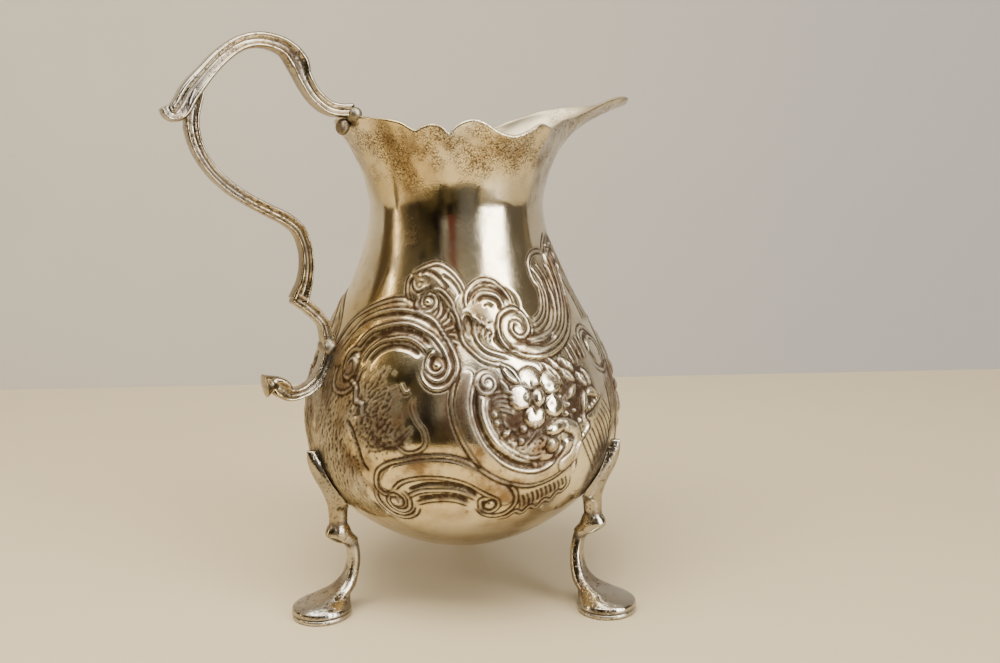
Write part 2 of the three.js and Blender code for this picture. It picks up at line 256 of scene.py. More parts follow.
def skinGrid(alongs, angles, depth=0.0):
    # points of the skin, moved in by depth, for every along (rows) and angle (columns), and its normals
    def raw(alongs, angles):
        side = catmull(sidePoints, alongs, power=0)
        turn = np.radians(angles)
        points = np.stack([
            side[:, :1] * np.cos(turn),
            side[:, :1] * np.sin(turn),
            side[:, 1:] + 0 * turn,
        ], -1)
        rise = (side[:, 1:] - jug["neckHeight"]) / (jug["rimHeight"] - jug["neckHeight"])
        rise = np.clip(rise, 0, 1)
        outward = sum(share * rise**power for share, power in jug["flare"])
        edge = edgeAt(angles)
        points[..., 0] += (edge[:, 0] - jug["rimRadius"] * np.cos(turn)) * outward
        points[..., 1] += (edge[:, 1] - jug["rimRadius"] * np.sin(turn)) * outward
        points[..., 2] += (edge[:, 2] - jug["rimHeight"]) * rise**2
        return points

    step, turnStep = 0.002, 0.6  # in shares of the side and in degrees
    low, high = np.maximum(alongs - step, step), np.minimum(alongs + step, 1)
    up = raw(high, angles) - raw(low, angles)
    level = np.maximum(alongs, step)
    around = raw(level, angles + turnStep) - raw(level, angles - turnStep)
    normals = unit(np.cross(around, up))
    return raw(alongs, angles) - normals * depth, normals


def spaced(low, high, spacing, samples=4001):
    # values from low to high whose gaps follow spacing(value), a function of plain arrays
    fine = np.linspace(low, high, samples)
    count = np.concatenate([[0], np.cumsum(np.diff(fine) / spacing((fine[1:] + fine[:-1]) / 2))])
    return np.interp(np.linspace(0, count[-1], int(math.ceil(count[-1])) + 1), count, fine)


grid = dict(
    fine=0.21,  # gap between points where the body is chased
    coarse=0.55,
    chasedFrom=17.0,  # heights
    chasedTo=68.5,
    over=3,  # height over which the gap changes
    frontAngles=(-16, -6),  # the gap round the body doubles here, towards the lip
    startShare=0.012,  # where the first row lies, as a share of the side
    fadeLow=(15.5, 18.5),  # heights over which the relief comes in and goes out
    fadeHigh=(66, 69.5),
)
sideLengths = np.concatenate([[0], np.cumsum(np.linalg.norm(np.diff(sideTable, axis=0), axis=1))])


def rowGap(length):
    height = np.interp(length, sideLengths, sideTable[:, 1])
    chasedShare = smooth(grid["chasedFrom"] - grid["over"], grid["chasedFrom"], height) * (
        1 - smooth(grid["chasedTo"], grid["chasedTo"] + grid["over"], height)
    )
    return grid["coarse"] + (grid["fine"] - grid["coarse"]) * chasedShare


def turnGap(angle):
    gap = math.degrees(grid["fine"] / jug["bellyRadius"])
    return gap + gap * smooth(*grid["frontAngles"], angle)


rowLengths = spaced(sideLengths[-1] * grid["startShare"], sideLengths[-1], rowGap)
rowAlongs = np.interp(rowLengths, sideLengths, np.linspace(0, 1, len(sideTable)))
rowHeights = np.interp(rowLengths, sideLengths, sideTable[:, 1])
halfTurns = spaced(-180, 0, turnGap)
turns = np.concatenate([halfTurns, -halfTurns[-2:0:-1]])
skinPoints, skinNormals = skinGrid(rowAlongs, turns)
half = len(halfTurns)
print("body grid:", skinPoints.shape[:2])


# body: chased relief
chisel = dict(
    widthLeast=0.1,  # a bead's half width is this, and the share below of the width asked for
    widthShare=0.5,
    crown=0.6,  # height of a bead as a share of its rise
    flankAway=0.04,  # cut beside a bead: distance, half width, depth as a share of the rise
    flankWide=0.2,
    flankSink=0.55,
    dirtAway=0.06,  # dirt and painted shade in that cut: distance, half width, how flat and how strong
    dirtWide=0.26,
    dirtFlat=1.25,
    dirtShare=1.5,
    grooveFlat=1.3,
    bandEdge=0.18,  # width over which a band's edge rises, and over which its dirt lies
    bandDirt=0.3,
    bandClean=0.8,
    domeEdge=0.16,
    domeLine=(0.1, 0.22),  # distance and half width of the cut line round a dome
    groundEdge=(0.72, 1.15),
)


class Relief:
    # heights over the near half of the skin; the far half is its mirror image
    def __init__(self):
        self.points = skinPoints[:, :half].astype(np.float32)
        self.lift = np.zeros(self.points.shape[:2])
        self.dark = np.zeros(self.points.shape[:2])

    def place(self, spots):
        # points of the plain skin at (angle, height) spots
        spots = np.asarray(spots, float)
        turn = np.radians(spots[:, 0])
        r = radiusAt(spots[:, 1])
        return np.stack([r * np.cos(turn), r * np.sin(turn), spots[:, 1]], -1)

    def window(self, spots, reach):
        # slices of the grid that hold everything within reach of the spots
        spots = np.asarray(spots, float)
        r = max(radiusAt(spots[:, 1]).min(), 8.0)
        wide = math.degrees(reach / r) + 0.5
        c0, c1 = np.searchsorted(halfTurns, [spots[:, 0].min() - wide, spots[:, 0].max() + wide])
        r0, r1 = np.searchsorted(rowHeights, [spots[:, 1].min() - reach, spots[:, 1].max() + reach])
        return slice(r0, r1), slice(c0, c1)

    def near(self, spots, reach):
        # for the grid points near a line of spots: window, distance, offset to its left, share along it
        line = catmull(spots, np.linspace(0, 1, max(8, len(spots) * 9)))
        window = self.window(line, reach)
        sample = self.points[window].reshape(-1, 3)
        if len(sample) == 0:
            return None
        path = self.place(line).astype(np.float32)
        gap = (sample**2).sum(1)[:, None] + (path**2).sum(1)[None] - 2 * sample @ path.T
        nearest = gap.argmin(1)
        tangent = unit(np.gradient(path, axis=0))
        outward = unit(path * [1, 1, 0] + 1e-6)
        left = unit(np.cross(outward, tangent))
        away = sample - path[nearest]
        offset = (away * left[nearest]).sum(1)
        ahead = (away * tangent[nearest]).sum(1)
        lengths = np.concatenate([[0], np.cumsum(np.linalg.norm(np.diff(path, axis=0), axis=1))])
        where = lengths[nearest] + ahead
        beyond = np.maximum(np.maximum(-where, where - lengths[-1]), 0)
        distance = np.hypot(offset, beyond)
        shape = self.points[window].shape[:2]
        share = np.clip(where / lengths[-1], 0, 1)
        return window, distance.reshape(shape), offset.reshape(shape), share.reshape(shape)

    def ends(self, share, taper):
        # 1 along a stroke, falling to 0 over the taper at both its ends
        return smooth(0, taper, share) * smooth(0, taper, 1 - share)

    def ridge(self, spots, width=0.5, rise=0.3, taper=0.12, beside=0.6):
        # a raised bead along the spots with a cut line each side, beside times as strong; the cut is darkened
        # with dirt and painted shade
        width = chisel["widthLeast"] + width * chisel["widthShare"]
        found = self.near(spots, width + 0.6)
        if found is None:
            return
        window, distance, _, share = found
        ends = self.ends(share, taper)
        bell = np.clip(1 - (distance / width) ** 2, 0, 1)
        beyond = (distance - width - chisel["flankAway"]) / chisel["flankWide"]
        flank = np.clip(1 - beyond**2, 0, 1) * ends
        self.lift[window] += rise * (chisel["crown"] * bell * ends - beside * chisel["flankSink"] * flank)
        # painted shade, with dirt: the cut beside the bead is darkened
        beyond = (distance - width - chisel["dirtAway"]) / chisel["dirtWide"]
        dirtAndShade = np.clip(chisel["dirtFlat"] - beyond**2, 0, 1)
        self.darken(window, min(1.0, chisel["dirtShare"] * beside) * (dirtAndShade * ends))

    def darken(self, window, amount):
        self.dark[window] = np.maximum(self.dark[window], amount)

    def groove(self, spots, width=0.35, sink=0.25, taper=0.1, dark=0.6):
        found = self.near(spots, width * 2)
        if found is None:
            return
        window, distance, _, share = found
        ends = self.ends(share, taper)
        bell = np.clip(1 - (distance / width) ** 2, 0, 1)
        self.lift[window] -= sink * bell * ends
        dirtAndShade = np.clip(chisel["grooveFlat"] - (distance / width) ** 2, 0, 1)
        self.darken(window, dark * dirtAndShade * ends)

    def band(self, spots, halves, section, rise, over=0.85, dark=0.0):
        # a strip with a drawn cross-section: halves are its half widths along it, section its (side, height)
        halves = np.asarray(halves, float)
        found = self.near(spots, halves.max() * 1.25)
        if found is None:
            return
        window, distance, offset, share = found
        wide = np.maximum(np.interp(share, np.linspace(0, 1, len(halves)), halves), 1e-3)
        side = np.where(distance > np.abs(offset) + 0.02, np.sign(offset + 1e-9) * distance, offset) / wide
        inside = np.clip((1 - np.abs(side)) * wide / chisel["bandEdge"], 0, 1)
        xs, ys = np.array(section, float).T
        shape = np.interp(side, xs, ys) * rise
        self.lift[window] = self.lift[window] * (1 - over * inside) + shape * inside
        self.dark[window] *= 1 - chisel["bandClean"] * over * inside
        if dark:
            rim = np.clip(1 - np.abs(np.abs(side) - 1) * wide / chisel["bandDirt"], 0, 1)
            self.darken(window, dark * rim)

    def dome(self, angle, height, across, along, rise, turn=0.0, flat=0.5, edge=0.35, over=1.0, dark=0.7):
        # an oval boss with a cut line round it; across and along are its half sizes, turn is in degrees
        reach = max(across, along) * 1.7
        window = self.window([(angle, height)], reach)
        centre = self.place([(angle, height)])[0]
        a = math.radians(angle)
        east = np.array([-math.sin(a), math.cos(a), 0])
        north = self.place([(angle, height + 0.4)])[0] - self.place([(angle, height - 0.4)])[0]
        north = north / np.linalg.norm(north)
        away = self.points[window] - centre
        x, y = away @ east, away @ north
        t = math.radians(turn)
        u, v = (x * math.cos(t) + y * math.sin(t)) / across, (-x * math.sin(t) + y * math.cos(t)) / along
        rho = np.hypot(u, v)
        size = min(across, along)
        inside = np.clip((1 - rho) * size / chisel["domeEdge"], 0, 1)
        shape = rise * np.clip(1 - rho**2, 0, 1) ** flat
        self.lift[window] = self.lift[window] * (1 - over * inside) + shape * inside
        self.dark[window] *= 1 - over * inside
        lineAway, lineWide = chisel["domeLine"]
        line = np.clip(1 - np.abs((rho - 1) * size - lineAway) / lineWide, 0, 1)
        self.lift[window] -= edge * rise * line
        self.darken(window, dark * line)

    def ground(self, angle, height, across, along, sink, dark):
        # a sunk and darkened patch, soft at its edge
        window = self.window([(angle, height)], max(across, along) * 1.3)
        away = self.points[window] - self.place([(angle, height)])[0]
        level = np.hypot(away[..., 0], away[..., 1])
        rho = np.hypot(level / across, away[..., 2] / along)
        inside = 1 - smooth(*chisel["groundEdge"], rho)
        self.lift[window] -= sink * inside
        self.darken(window, dark * inside)

    def spiral(self, angle, height, outer, inner, turnsRound, start, width=0.4, rise=0.35, squash=1.0):
        # a bead that winds in from radius outer to inner; start is where it begins, in degrees from the right
        t = np.linspace(0, 1, max(8, int(abs(turnsRound) * 10)))
        radius = outer + (inner - outer) * t
        way = np.radians(start + 360 * turnsRound * t)
        perDegree = math.radians(1) * radiusAt(height)
        angles, heights = angle + radius * np.cos(way) / perDegree, height + radius * np.sin(way) * squash
        self.ridge(np.stack([angles, heights], -1), width, rise, taper=0.05)

    def between(self, first, last, count, width=0.35, rise=0.25):
        # ridges fanned evenly from one guide line to another of as many points
        first, last = np.asarray(first, float), np.asarray(last, float)
        for t in np.arange(count) / (count - 1):
            self.ridge(first + (last - first) * t, width, rise)

    def dimples(self, spots, size=0.4, rise=-0.12, dark=0.35):
        # small punched dots at many (angle, height) spots
        for angle, height in spots:
            window = self.window([(angle, height)], size)
            away = self.points[window] - self.place([(angle, height)])[0]
            bell = np.clip(1 - (away**2).sum(-1) / size**2, 0, 1)
            self.lift[window] += rise * bell
            self.darken(window, dark * bell)


relief = Relief()
# sections of a band: place from one side to the other, height as a share of its rise
rounded = [(-1, 0), (-0.8, 0.6), (-0.4, 0.92), (0, 1), (0.4, 0.92), (0.8, 0.6), (1, 0)]
arched = [(-1, 0), (-0.8, 0.8), (0, 1), (0.8, 0.8), (1, 0)]
leafSection = [(-1, 0), (-0.75, 0.8), (-0.35, 0.6), (0, 0.12), (0.12, 0.75), (0.6, 1), (1, 0.1)]

strewn = dict(spread=0.55, angleReach=1.3, heightReach=1.2, turnSpread=24, bendSpread=0.5)


def scribble(spotsFrom, spotsTo, count, lengthRange, direction, width, rise, dark):
    # short hand-cut strokes strewn over a patch; direction is the mean angle of a stroke in degrees
    def strew(low, high, reach):
        return (low + high) / 2 + (high - low) / 2 * np.clip(rng.normal(0, strewn["spread"]), -reach, reach)

    (a0, h0), (a1, h1) = spotsFrom, spotsTo
    for _ in range(count):
        angle = strew(a0, a1, strewn["angleReach"])
        height = strew(h0, h1, strewn["heightReach"])
        long = rng.uniform(*lengthRange)
        way = math.radians(direction + rng.normal(0, strewn["turnSpread"]))
        bend = rng.normal(0, strewn["bendSpread"])
        steps = np.linspace(-0.5, 0.5, 4)
        x = long * (steps * math.cos(way) - bend * steps**2 * math.sin(way))
        y = long * (steps * math.sin(way) + bend * steps**2 * math.cos(way))
        perDegree = math.radians(1) * radiusAt(height)
        relief.ridge(np.stack([angle + x / perDegree, height + y], -1), width, rise, taper=0.3, beside=dark)


ridge, groove, band, dome = relief.ridge, relief.groove, relief.band, relief.dome
spiral, between, dimples, ground = relief.spiral, relief.between, relief.dimples, relief.ground

# upper scroll towards the handle: four reeds on a low swell, a long volute at its foot, a round one in front
band([(-172, 48), (-166, 51.5), (-158, 53.4), (-149, 54.2), (-140, 54), (-131.5, 52.4), (-126, 50)],
     [2.6, 2.9, 3, 3, 3, 2.6, 2.2], rounded, 0.45)
ridge([(-179, 48), (-176.5, 51.4), (-171.5, 53.6), (-163.5, 55.4), (-155.5, 56.6), (-148, 57.2),
       (-142.5, 57), (-139.5, 56.2)], 0.5, 0.3)
ridge([(-174, 46.5), (-171, 49.6), (-165, 52.8), (-158.5, 54.4), (-150, 55.3), (-142.5, 55.5), (-133, 54.8),
       (-128, 53.8), (-124.5, 52), (-120.5, 49.4), (-119, 47), (-121.5, 44.6), (-126.5, 43.6), (-131, 44.8),
       (-133.4, 47.2)], 0.55, 0.42)
ridge([(-164, 47.4), (-162, 49.6), (-157, 51.8), (-152, 52.6), (-146, 53.2), (-139, 53.3), (-132.5, 52.4),
       (-127.5, 51.2), (-123.5, 49), (-122, 47), (-123.5, 45.4), (-127, 44.9), (-130.5, 46.2), (-130.8, 48)],
      0.5, 0.4)
ridge([(-158.5, 46.6), (-156, 48.8), (-151.5, 50.4), (-146, 51), (-141, 51.2), (-136.5, 50.8),
       (-132.5, 49.8), (-130.2, 48.6)], 0.55, 0.42)
groove([(-173, 47.6), (-168, 51.4), (-160, 53.7), (-150, 54.5), (-141, 54.7), (-132, 53.8), (-126, 52)], 0.3,
       0.22)
groove([(-161, 47.8), (-157, 50.4), (-150, 51.8), (-142, 52.3), (-134, 51.6), (-128.5, 49.8)], 0.45, 0.34,
       dark=0.95)
groove([(-155, 47), (-151, 49), (-144, 50), (-137, 49.6), (-133, 48.6)], 0.45, 0.3, dark=0.9)
spiral(-126.7, 47.3, 1.9, 0.3, 1.3, 100, 0.5, 0.4)
dome(-126.6, 47.2, 0.75, 0.75, 0.5)
dome(-162.6, 46.2, 1.2, 2.6, 0.55, turn=-12)
spiral(-162.6, 46.2, 2.1, 0.5, 1.4, 60, 0.45, 0.4, squash=1.35)
ridge([(-171, 46), (-170, 42.8), (-164, 41.8), (-158.5, 43.6), (-157, 46.6)], 0.5, 0.35)

# plume over it, which folds to a small spiral
band([(-139.5, 58.6), (-133, 60.6), (-126, 59.8), (-120, 57), (-117, 53.4)], [1.6, 2.2, 2.4, 2, 1.2],
     rounded, 0.4)
ridge([(-142.5, 61.2), (-139, 62), (-134, 62.7), (-129, 63), (-124, 62.4), (-119.5, 61.2), (-116, 59.6),
       (-114, 57.8)], 0.45, 0.32)
groove([(-138.5, 61.2), (-135, 61.8), (-131, 61.5), (-128, 60.8), (-125.5, 59.9), (-123, 58.6)], 0.3, 0.25,
       dark=0.9)
groove([(-126.5, 61.2), (-122, 60.3), (-118.5, 59), (-115.8, 56.8)], 0.28, 0.22)
ridge([(-142.5, 61.2), (-144.2, 60), (-143.6, 58.4), (-141, 57)], 0.4, 0.3)
ridge([(-141, 60.6), (-140, 59.4), (-138, 58.7), (-134.5, 59.2)], 0.35, 0.3)
dome(-136.6, 60.2, 1.1, 0.5, 0.35, turn=-10)
dome(-132.4, 57, 0.7, 0.7, 0.5)
spiral(-132.3, 57, 2, 1, 0.9, 150, 0.4, 0.35)
ridge([(-131, 58.6), (-127, 58.8), (-123.5, 57.9), (-120.5, 56.4), (-118.6, 54.8), (-117.6, 53),
       (-116.2, 51)], 0.4, 0.38)
ridge([(-138.6, 57.2), (-137.4, 55.8), (-134.6, 55.2)], 0.4, 0.3)
ridge([(-126.6, 57), (-126.2, 55.6), (-128.2, 54)], 0.4, 0.3)
between([(-127.5, 53.6), (-124.5, 54.4), (-122.5, 55.8)], [(-125, 51.4), (-121.5, 51), (-118, 50.4)], 5,
        0.35, 0.28)

# long sweep that divides the two sides of the design
ridge([(-123.5, 56.6), (-120.4, 55.6), (-118.6, 54.2), (-118, 52.4), (-116.4, 50.6), (-113.4, 49.2),
       (-110, 47.9), (-106, 47.2), (-101, 47)], 0.45, 0.4)

# shell: four arched lobes over a ball
dome(-104.6, 56.2, 5.6, 3.8, 0.5, edge=0.1, dark=0.2)
ridge([(-115.4, 55.6), (-114.2, 58.2), (-109.5, 59.8), (-104, 60.2), (-98.5, 59.4), (-94.5, 57.4),
       (-93, 55.8)], 0.45, 0.35)
groove([(-114, 56.4), (-112.5, 57.8), (-108.5, 58.9), (-103.5, 59.1), (-98.5, 58.2), (-95.4, 56.4)], 0.32,
       0.3, dark=0.9)
ridge([(-112, 56.4), (-109, 57.8), (-104, 58), (-99.5, 57.2), (-97.5, 55.6)], 0.4, 0.3)
groove([(-109.5, 56.7), (-106.5, 57.3), (-103, 57.1), (-100, 56.4), (-99.4, 55.2)], 0.32, 0.32, dark=0.95)
groove([(-107, 56), (-104.8, 56.3), (-102.6, 55.7)], 0.28, 0.26, dark=0.9)
for k in range(4):
    ridge([(-112 + 2.4 * k, 54.6 - 0.5 * k), (-110 + 2 * k, 53.4 - 0.5 * k),
           (-110.4 + 1.6 * k, 51.6 - 0.3 * k)], 0.7, 0.36)
dome(-104.6, 52.6, 1.2, 1, 0.3, flat=0.6)
ridge([(-111.8, 54), (-111.4, 51.4), (-108.6, 49.6), (-103.5, 48.6), (-98, 48)], 0.6, 0.4)
groove([(-104.6, 51.4), (-101.6, 49.8), (-97, 48.8)], 0.4, 0.32, dark=0.9)
dome(-114.2, 53.2, 0.9, 2.1, -0.3, turn=6, dark=0.6)

# great volute whose feathered arm climbs towards the lip
band([(-94, 49.6), (-86, 49), (-78, 49.8), (-70, 51.8), (-63.5, 55), (-59, 59), (-58, 63)],
     [1.6, 2, 2.2, 2.4, 2.3, 1.8, 1], rounded, 0.5)
dome(-94, 52.2, 3.6, 2.9, 0.35, edge=0.1, dark=0.1)
ridge([(-91, 52.4), (-92.6, 53.1), (-95.4, 53), (-96.4, 52), (-94.6, 51), (-91, 50.9), (-88.2, 52),
       (-88.4, 53.9), (-92, 55.2), (-97, 55.1), (-101, 53.8), (-102, 51.6), (-99.6, 49.6), (-95, 48.2),
       (-88.5, 47.5), (-81.5, 47.6), (-74.5, 48.6), (-67, 50.4), (-60, 53), (-53, 56.4), (-48.5, 60),
       (-47.5, 63.4), (-50, 66.4)], 0.5, 0.48, taper=0.03)
between([(-93.5, 50.6), (-87, 50.4), (-81, 50.7), (-75, 51.8), (-70, 54), (-67, 57), (-66.5, 60), (-68, 62)],
        [(-88, 48.6), (-80, 48.8), (-72, 50.2), (-65, 52.6), (-58.5, 56), (-54, 59.6), (-53, 63),
         (-54.5, 65.4)], 4, 0.42, 0.34)
between([(-89, 51.7), (-82.5, 51.8), (-77, 53), (-73, 54.8), (-70.5, 57.2), (-71, 59.4)],
        [(-84.5, 53.2), (-80.5, 53.8), (-77, 55), (-75, 56.6), (-74.5, 58.2), (-76, 59.4)], 3, 0.35, 0.28)
groove([(-92, 49.8), (-84, 49.4), (-76.5, 50.4)], 0.5, 0.4, dark=0.95)
ridge([(-73, 57.4), (-76.6, 60.2), (-76.6, 62), (-73, 63.6), (-66, 64.2), (-60, 63.6)], 0.4, 0.32)
ridge([(-74.5, 61.6), (-71.5, 60), (-70, 58.6)], 0.4, 0.3)
ridge([(-70.5, 62.2), (-68, 60.8), (-67, 59.2)], 0.35, 0.28)
# flames that run up from it to a point
between([(-47, 50.8), (-44.5, 53), (-44, 56), (-47, 60), (-52, 64), (-57, 66.5)],
        [(-25, 49), (-25, 52.6), (-28, 56.6), (-33, 60.8), (-40, 65), (-50, 68)], 6, 0.5, 0.36)
between([(-60, 64), (-56, 65.6), (-50, 67)], [(-58, 62.4), (-53, 64), (-46, 65.6)], 3, 0.4, 0.3)

# great C-scroll round the flower
band([(-115.6, 45.6), (-117.2, 41), (-115.6, 37), (-111.6, 33.2), (-105.5, 30.2), (-98, 28.4), (-90, 28.6),
      (-83.5, 30.2), (-80.6, 32.4)], [1.2, 1.7, 1.8, 1.8, 1.8, 1.7, 1.7, 1.7, 1.5], arched, 0.42)
band([(-110.8, 43.4), (-111.6, 40), (-109.8, 36.6), (-106, 33.6), (-100.4, 31.2), (-94, 30.4)],
     [0.8, 1.1, 1.2, 1.2, 1, 0.7], arched, 0.36)
ridge([(-117, 46.6), (-120, 44.6), (-121.2, 42), (-120.6, 39.2), (-118.8, 36.4), (-116, 33.6), (-112.6, 31),
       (-108, 29), (-102, 27.6), (-95.5, 26.8), (-88.5, 27.2), (-82.5, 28.4), (-78, 30.2), (-76, 32.6),
       (-77.4, 35), (-81, 36.4), (-86, 36.6), (-89.2, 35.6)], 0.42, 0.34, taper=0.04)
ridge([(-112, 45.8), (-113.8, 43.4), (-114.5, 40.8), (-113.5, 38), (-111.2, 35.2), (-108, 33), (-104, 31.1),
       (-98.5, 29.8), (-93, 29.4), (-88, 30.2), (-84, 32)], 0.4, 0.34, taper=0.05)
ridge([(-109, 42.4), (-109.4, 40), (-108.4, 37.8), (-106, 35.6), (-102.6, 33.6), (-98.6, 32.2),
       (-94.4, 31.5), (-91, 31.8)], 0.42, 0.34, taper=0.05)
groove([(-112.6, 43.6), (-113.4, 40.6), (-112.2, 37.6), (-109, 34.4), (-104, 32), (-98, 30.6), (-92, 30.2)],
       0.7, 0.5, dark=1)
dome(-109, 44.3, 2.1, 2.2, 0.4, flat=0.3)
spiral(-109, 44.3, 1.9, 0.3, 1.4, 180, 0.36, 0.34)

# flower with five cupped petals round an oval eye, and what grows round it
ground(-96, 39.5, 7.6, 5.8, 0.2, 1)
ground(-77, 41.5, 7, 5.2, 0.2, 1)
flower = dict(
    cup=0.4,  # how far towards the eye a petal's hollow lies
    eye=(-91, 41.4),
    # angle, height, half size across and along, turn
    petals=[(-93, 44.4, 1.95, 1.8, 10), (-84.9, 43.4, 1.95, 1.85, -30), (-85.2, 39.7, 1.75, 1.8, 25),
            (-93.2, 38.4, 1.8, 1.8, -10), (-97.7, 41.7, 1.85, 1.9, 0)],
)
for angle, height, across, along, turn in flower["petals"]:
    dome(angle, height, across * 1.12, along * 1.12, 0.42, turn=turn, flat=0.3, edge=0.7, dark=1)
    cupAngle = angle + (flower["eye"][0] - angle) * flower["cup"]
    cupHeight = height + (flower["eye"][1] - height) * flower["cup"]
    dome(cupAngle, cupHeight, across * 0.62, along * 0.62, -0.22, turn=turn, flat=1.6, edge=0, over=0, dark=0)
    # painted shadow: a shallow groove that darkens the inner part of each petal, towards the eye
    groove([(cupAngle, cupHeight), (angle, height)], 0.26, 0.08, taper=0.4, dark=0.5)
dome(*flower["eye"], 1.4, 1.8, 0.42, turn=-12, flat=0.15, edge=0.5, dark=1)
dome(*flower["eye"], 1.0, 1.4, 0.62, turn=-12, flat=0.5, edge=0.5, dark=1)
for spots, wide in [([(-103, 47), (-101, 45.9), (-98.6, 44.6), (-97, 43.6)], 1.05),
                    ([(-104, 44.6), (-102.6, 43.3), (-100.6, 42.4)], 0.6),
                    ([(-86.6, 46.6), (-84, 45.3), (-81.5, 43.9), (-79.4, 42.6)], 0.8),
                    ([(-83.6, 47.2), (-81, 45.9), (-78, 44.6)], 0.55),
                    ([(-79.6, 45.4), (-77, 44.3), (-73.4, 42.8)], 0.8),
                    ([(-77.6, 46.8), (-75, 45.8), (-72.4, 44.4)], 0.65),
                    ([(-78.6, 40.4), (-76, 41.4), (-73.6, 42.4)], 0.75),
                    ([(-72.6, 37.6), (-71, 39.2), (-70, 41)], 0.95),
                    ([(-69.6, 40.2), (-66.4, 40.5), (-62.6, 39.4)], 0.85),
                    ([(-71.4, 44.2), (-69.4, 42.9), (-68, 41.4)], 0.7),
                    ([(-67.6, 44.4), (-66, 43), (-65, 41.4)], 0.6)]:
    band(spots, [0.15, wide * 0.8, wide, wide * 0.7, 0.15], leafSection, 0.62, dark=0.95)
for angle, height, size in [(-82.2, 41, 0.45), (-80.4, 38, 0.5), (-79, 39.4, 0.42), (-81.6, 36.9, 0.4),
                            (-76.6, 38.2, 0.42), (-74.6, 36.4, 0.4)]:
    dome(angle, height, size, size, 0.4)
# bud of stacked ridges, two ringed beads and a curling stem
for k in range(5):
    ridge([(-108.4 + 0.4 * k, 42.2 - 0.5 * k), (-104.6 + 0.2 * k, 42.9 - 0.75 * k),
           (-100.4, 42.4 - 0.8 * k)], 0.42, 0.42)
for angle, height, size in [(-107, 39.4, 0.62), (-106.4, 38, 0.55), (-97.6, 36.7, 0.72), (-98.6, 34.7, 0.62)]:
    dome(angle, height, size, size, 0.4, dark=0.8)
    dome(angle, height, size * 0.4, size * 0.4, -0.25, over=0, dark=1)
ridge([(-94, 37.4), (-93.6, 36), (-95.2, 34.9), (-97.6, 34)], 0.4, 0.4)
ridge([(-104.6, 38.4), (-102.6, 37), (-100, 36.6)], 0.5, 0.4)
dome(-103.6, 36.2, 0.9, 0.5, 0.4, turn=30)
# rolled end of the great C-scroll: its band turns over a bulge and closes on a knob
band([(-82.5, 29.6), (-78.6, 31), (-76.9, 33), (-77.6, 34.9), (-80.6, 36.1), (-84, 36.5), (-87.4, 36.2)],
     [1.3, 1.2, 1.1, 1.05, 1.2, 1.15, 0.6], arched, 0.6, dark=0.9)
dome(-86.2, 35.9, 1.8, 1, 0.7, turn=8, flat=0.4, dark=0.9)
dome(-87.3, 33.2, 1.2, 1.25, 0.66, flat=0.3, dark=1)
groove([(-97, 31.4), (-91.4, 30.6), (-86, 30.9), (-82.8, 32.6), (-84, 34.2)], 0.3, 0.3, dark=1)

# lower C-scroll, its two volutes curled under
band([(-144.5, 27.6), (-141, 29.6), (-134, 30.8), (-126, 31.1), (-118.6, 30.4), (-112, 28.6), (-106, 26.6),
      (-103.4, 24.6)], [1.1, 1.5, 1.6, 1.7, 1.7, 1.6, 1.5, 1.2], arched, 0.4)
ridge([(-142.6, 26.2), (-146, 25.6), (-148.6, 27), (-147.6, 29.4), (-144, 31), (-137, 32.2), (-130, 32.9),
       (-122.5, 32.9), (-117, 32), (-112.5, 30.6), (-108, 29), (-103.5, 27.6), (-100, 25.6), (-99.6, 23.6),
       (-102, 21.9), (-106.5, 21.3), (-111, 22), (-114, 23.8)], 0.42, 0.34, taper=0.03)
ridge([(-142.5, 26.6), (-138.6, 28.2), (-131, 29.2), (-124, 29.1), (-117.5, 28.2), (-112.5, 26.6),
       (-109.6, 25.6), (-106.6, 24.8), (-105.8, 23.4), (-108.5, 22.3), (-112, 23.2), (-112.4, 24.8),
       (-109.6, 25)], 0.38, 0.34, taper=0.04)
ridge([(-138.5, 25.2), (-133, 26.6), (-127, 27), (-120.5, 26.8), (-115, 25.6), (-112.8, 24.8)], 0.4, 0.34)
ridge([(-135.5, 24.2), (-128.5, 25.1), (-121.5, 25.1), (-115.6, 24)], 0.38, 0.28)
groove([(-137.5, 26.8), (-131, 28), (-124, 28.1), (-117.5, 27.4), (-113, 25.8)], 0.4, 0.34, dark=0.95)
groove([(-134, 25.4), (-127, 26), (-120.5, 25.9), (-116, 24.8)], 0.35, 0.28, dark=0.8)
dome(-109, 23.8, 0.9, 0.85, 0.45)
dome(-142, 24.4, 1.2, 1.1, 0.45)
spiral(-142, 24.4, 2.6, 0.6, -1.3, 60, 0.4, 0.32)
ridge([(-149, 27), (-149.8, 24.4), (-147.5, 22), (-142, 20.9), (-136, 22.2), (-134, 24)], 0.45, 0.32)

# leaf with a frilled edge under the great C-scroll
ridge([(-80, 27.6), (-78.4, 25.4), (-80.2, 24.2), (-82.8, 24.2), (-84.6, 22.8), (-87.6, 23.2), (-89.8, 21.8),
       (-93, 22.4), (-95.4, 21.2), (-98.6, 21.8), (-101.6, 20.8), (-106, 20.6)], 0.4, 0.32)
between([(-98.5, 25.2), (-97, 23.6), (-96.4, 22.2)], [(-81.5, 27), (-80.5, 26.2), (-79.8, 25.4)], 11, 0.3,
        0.2)

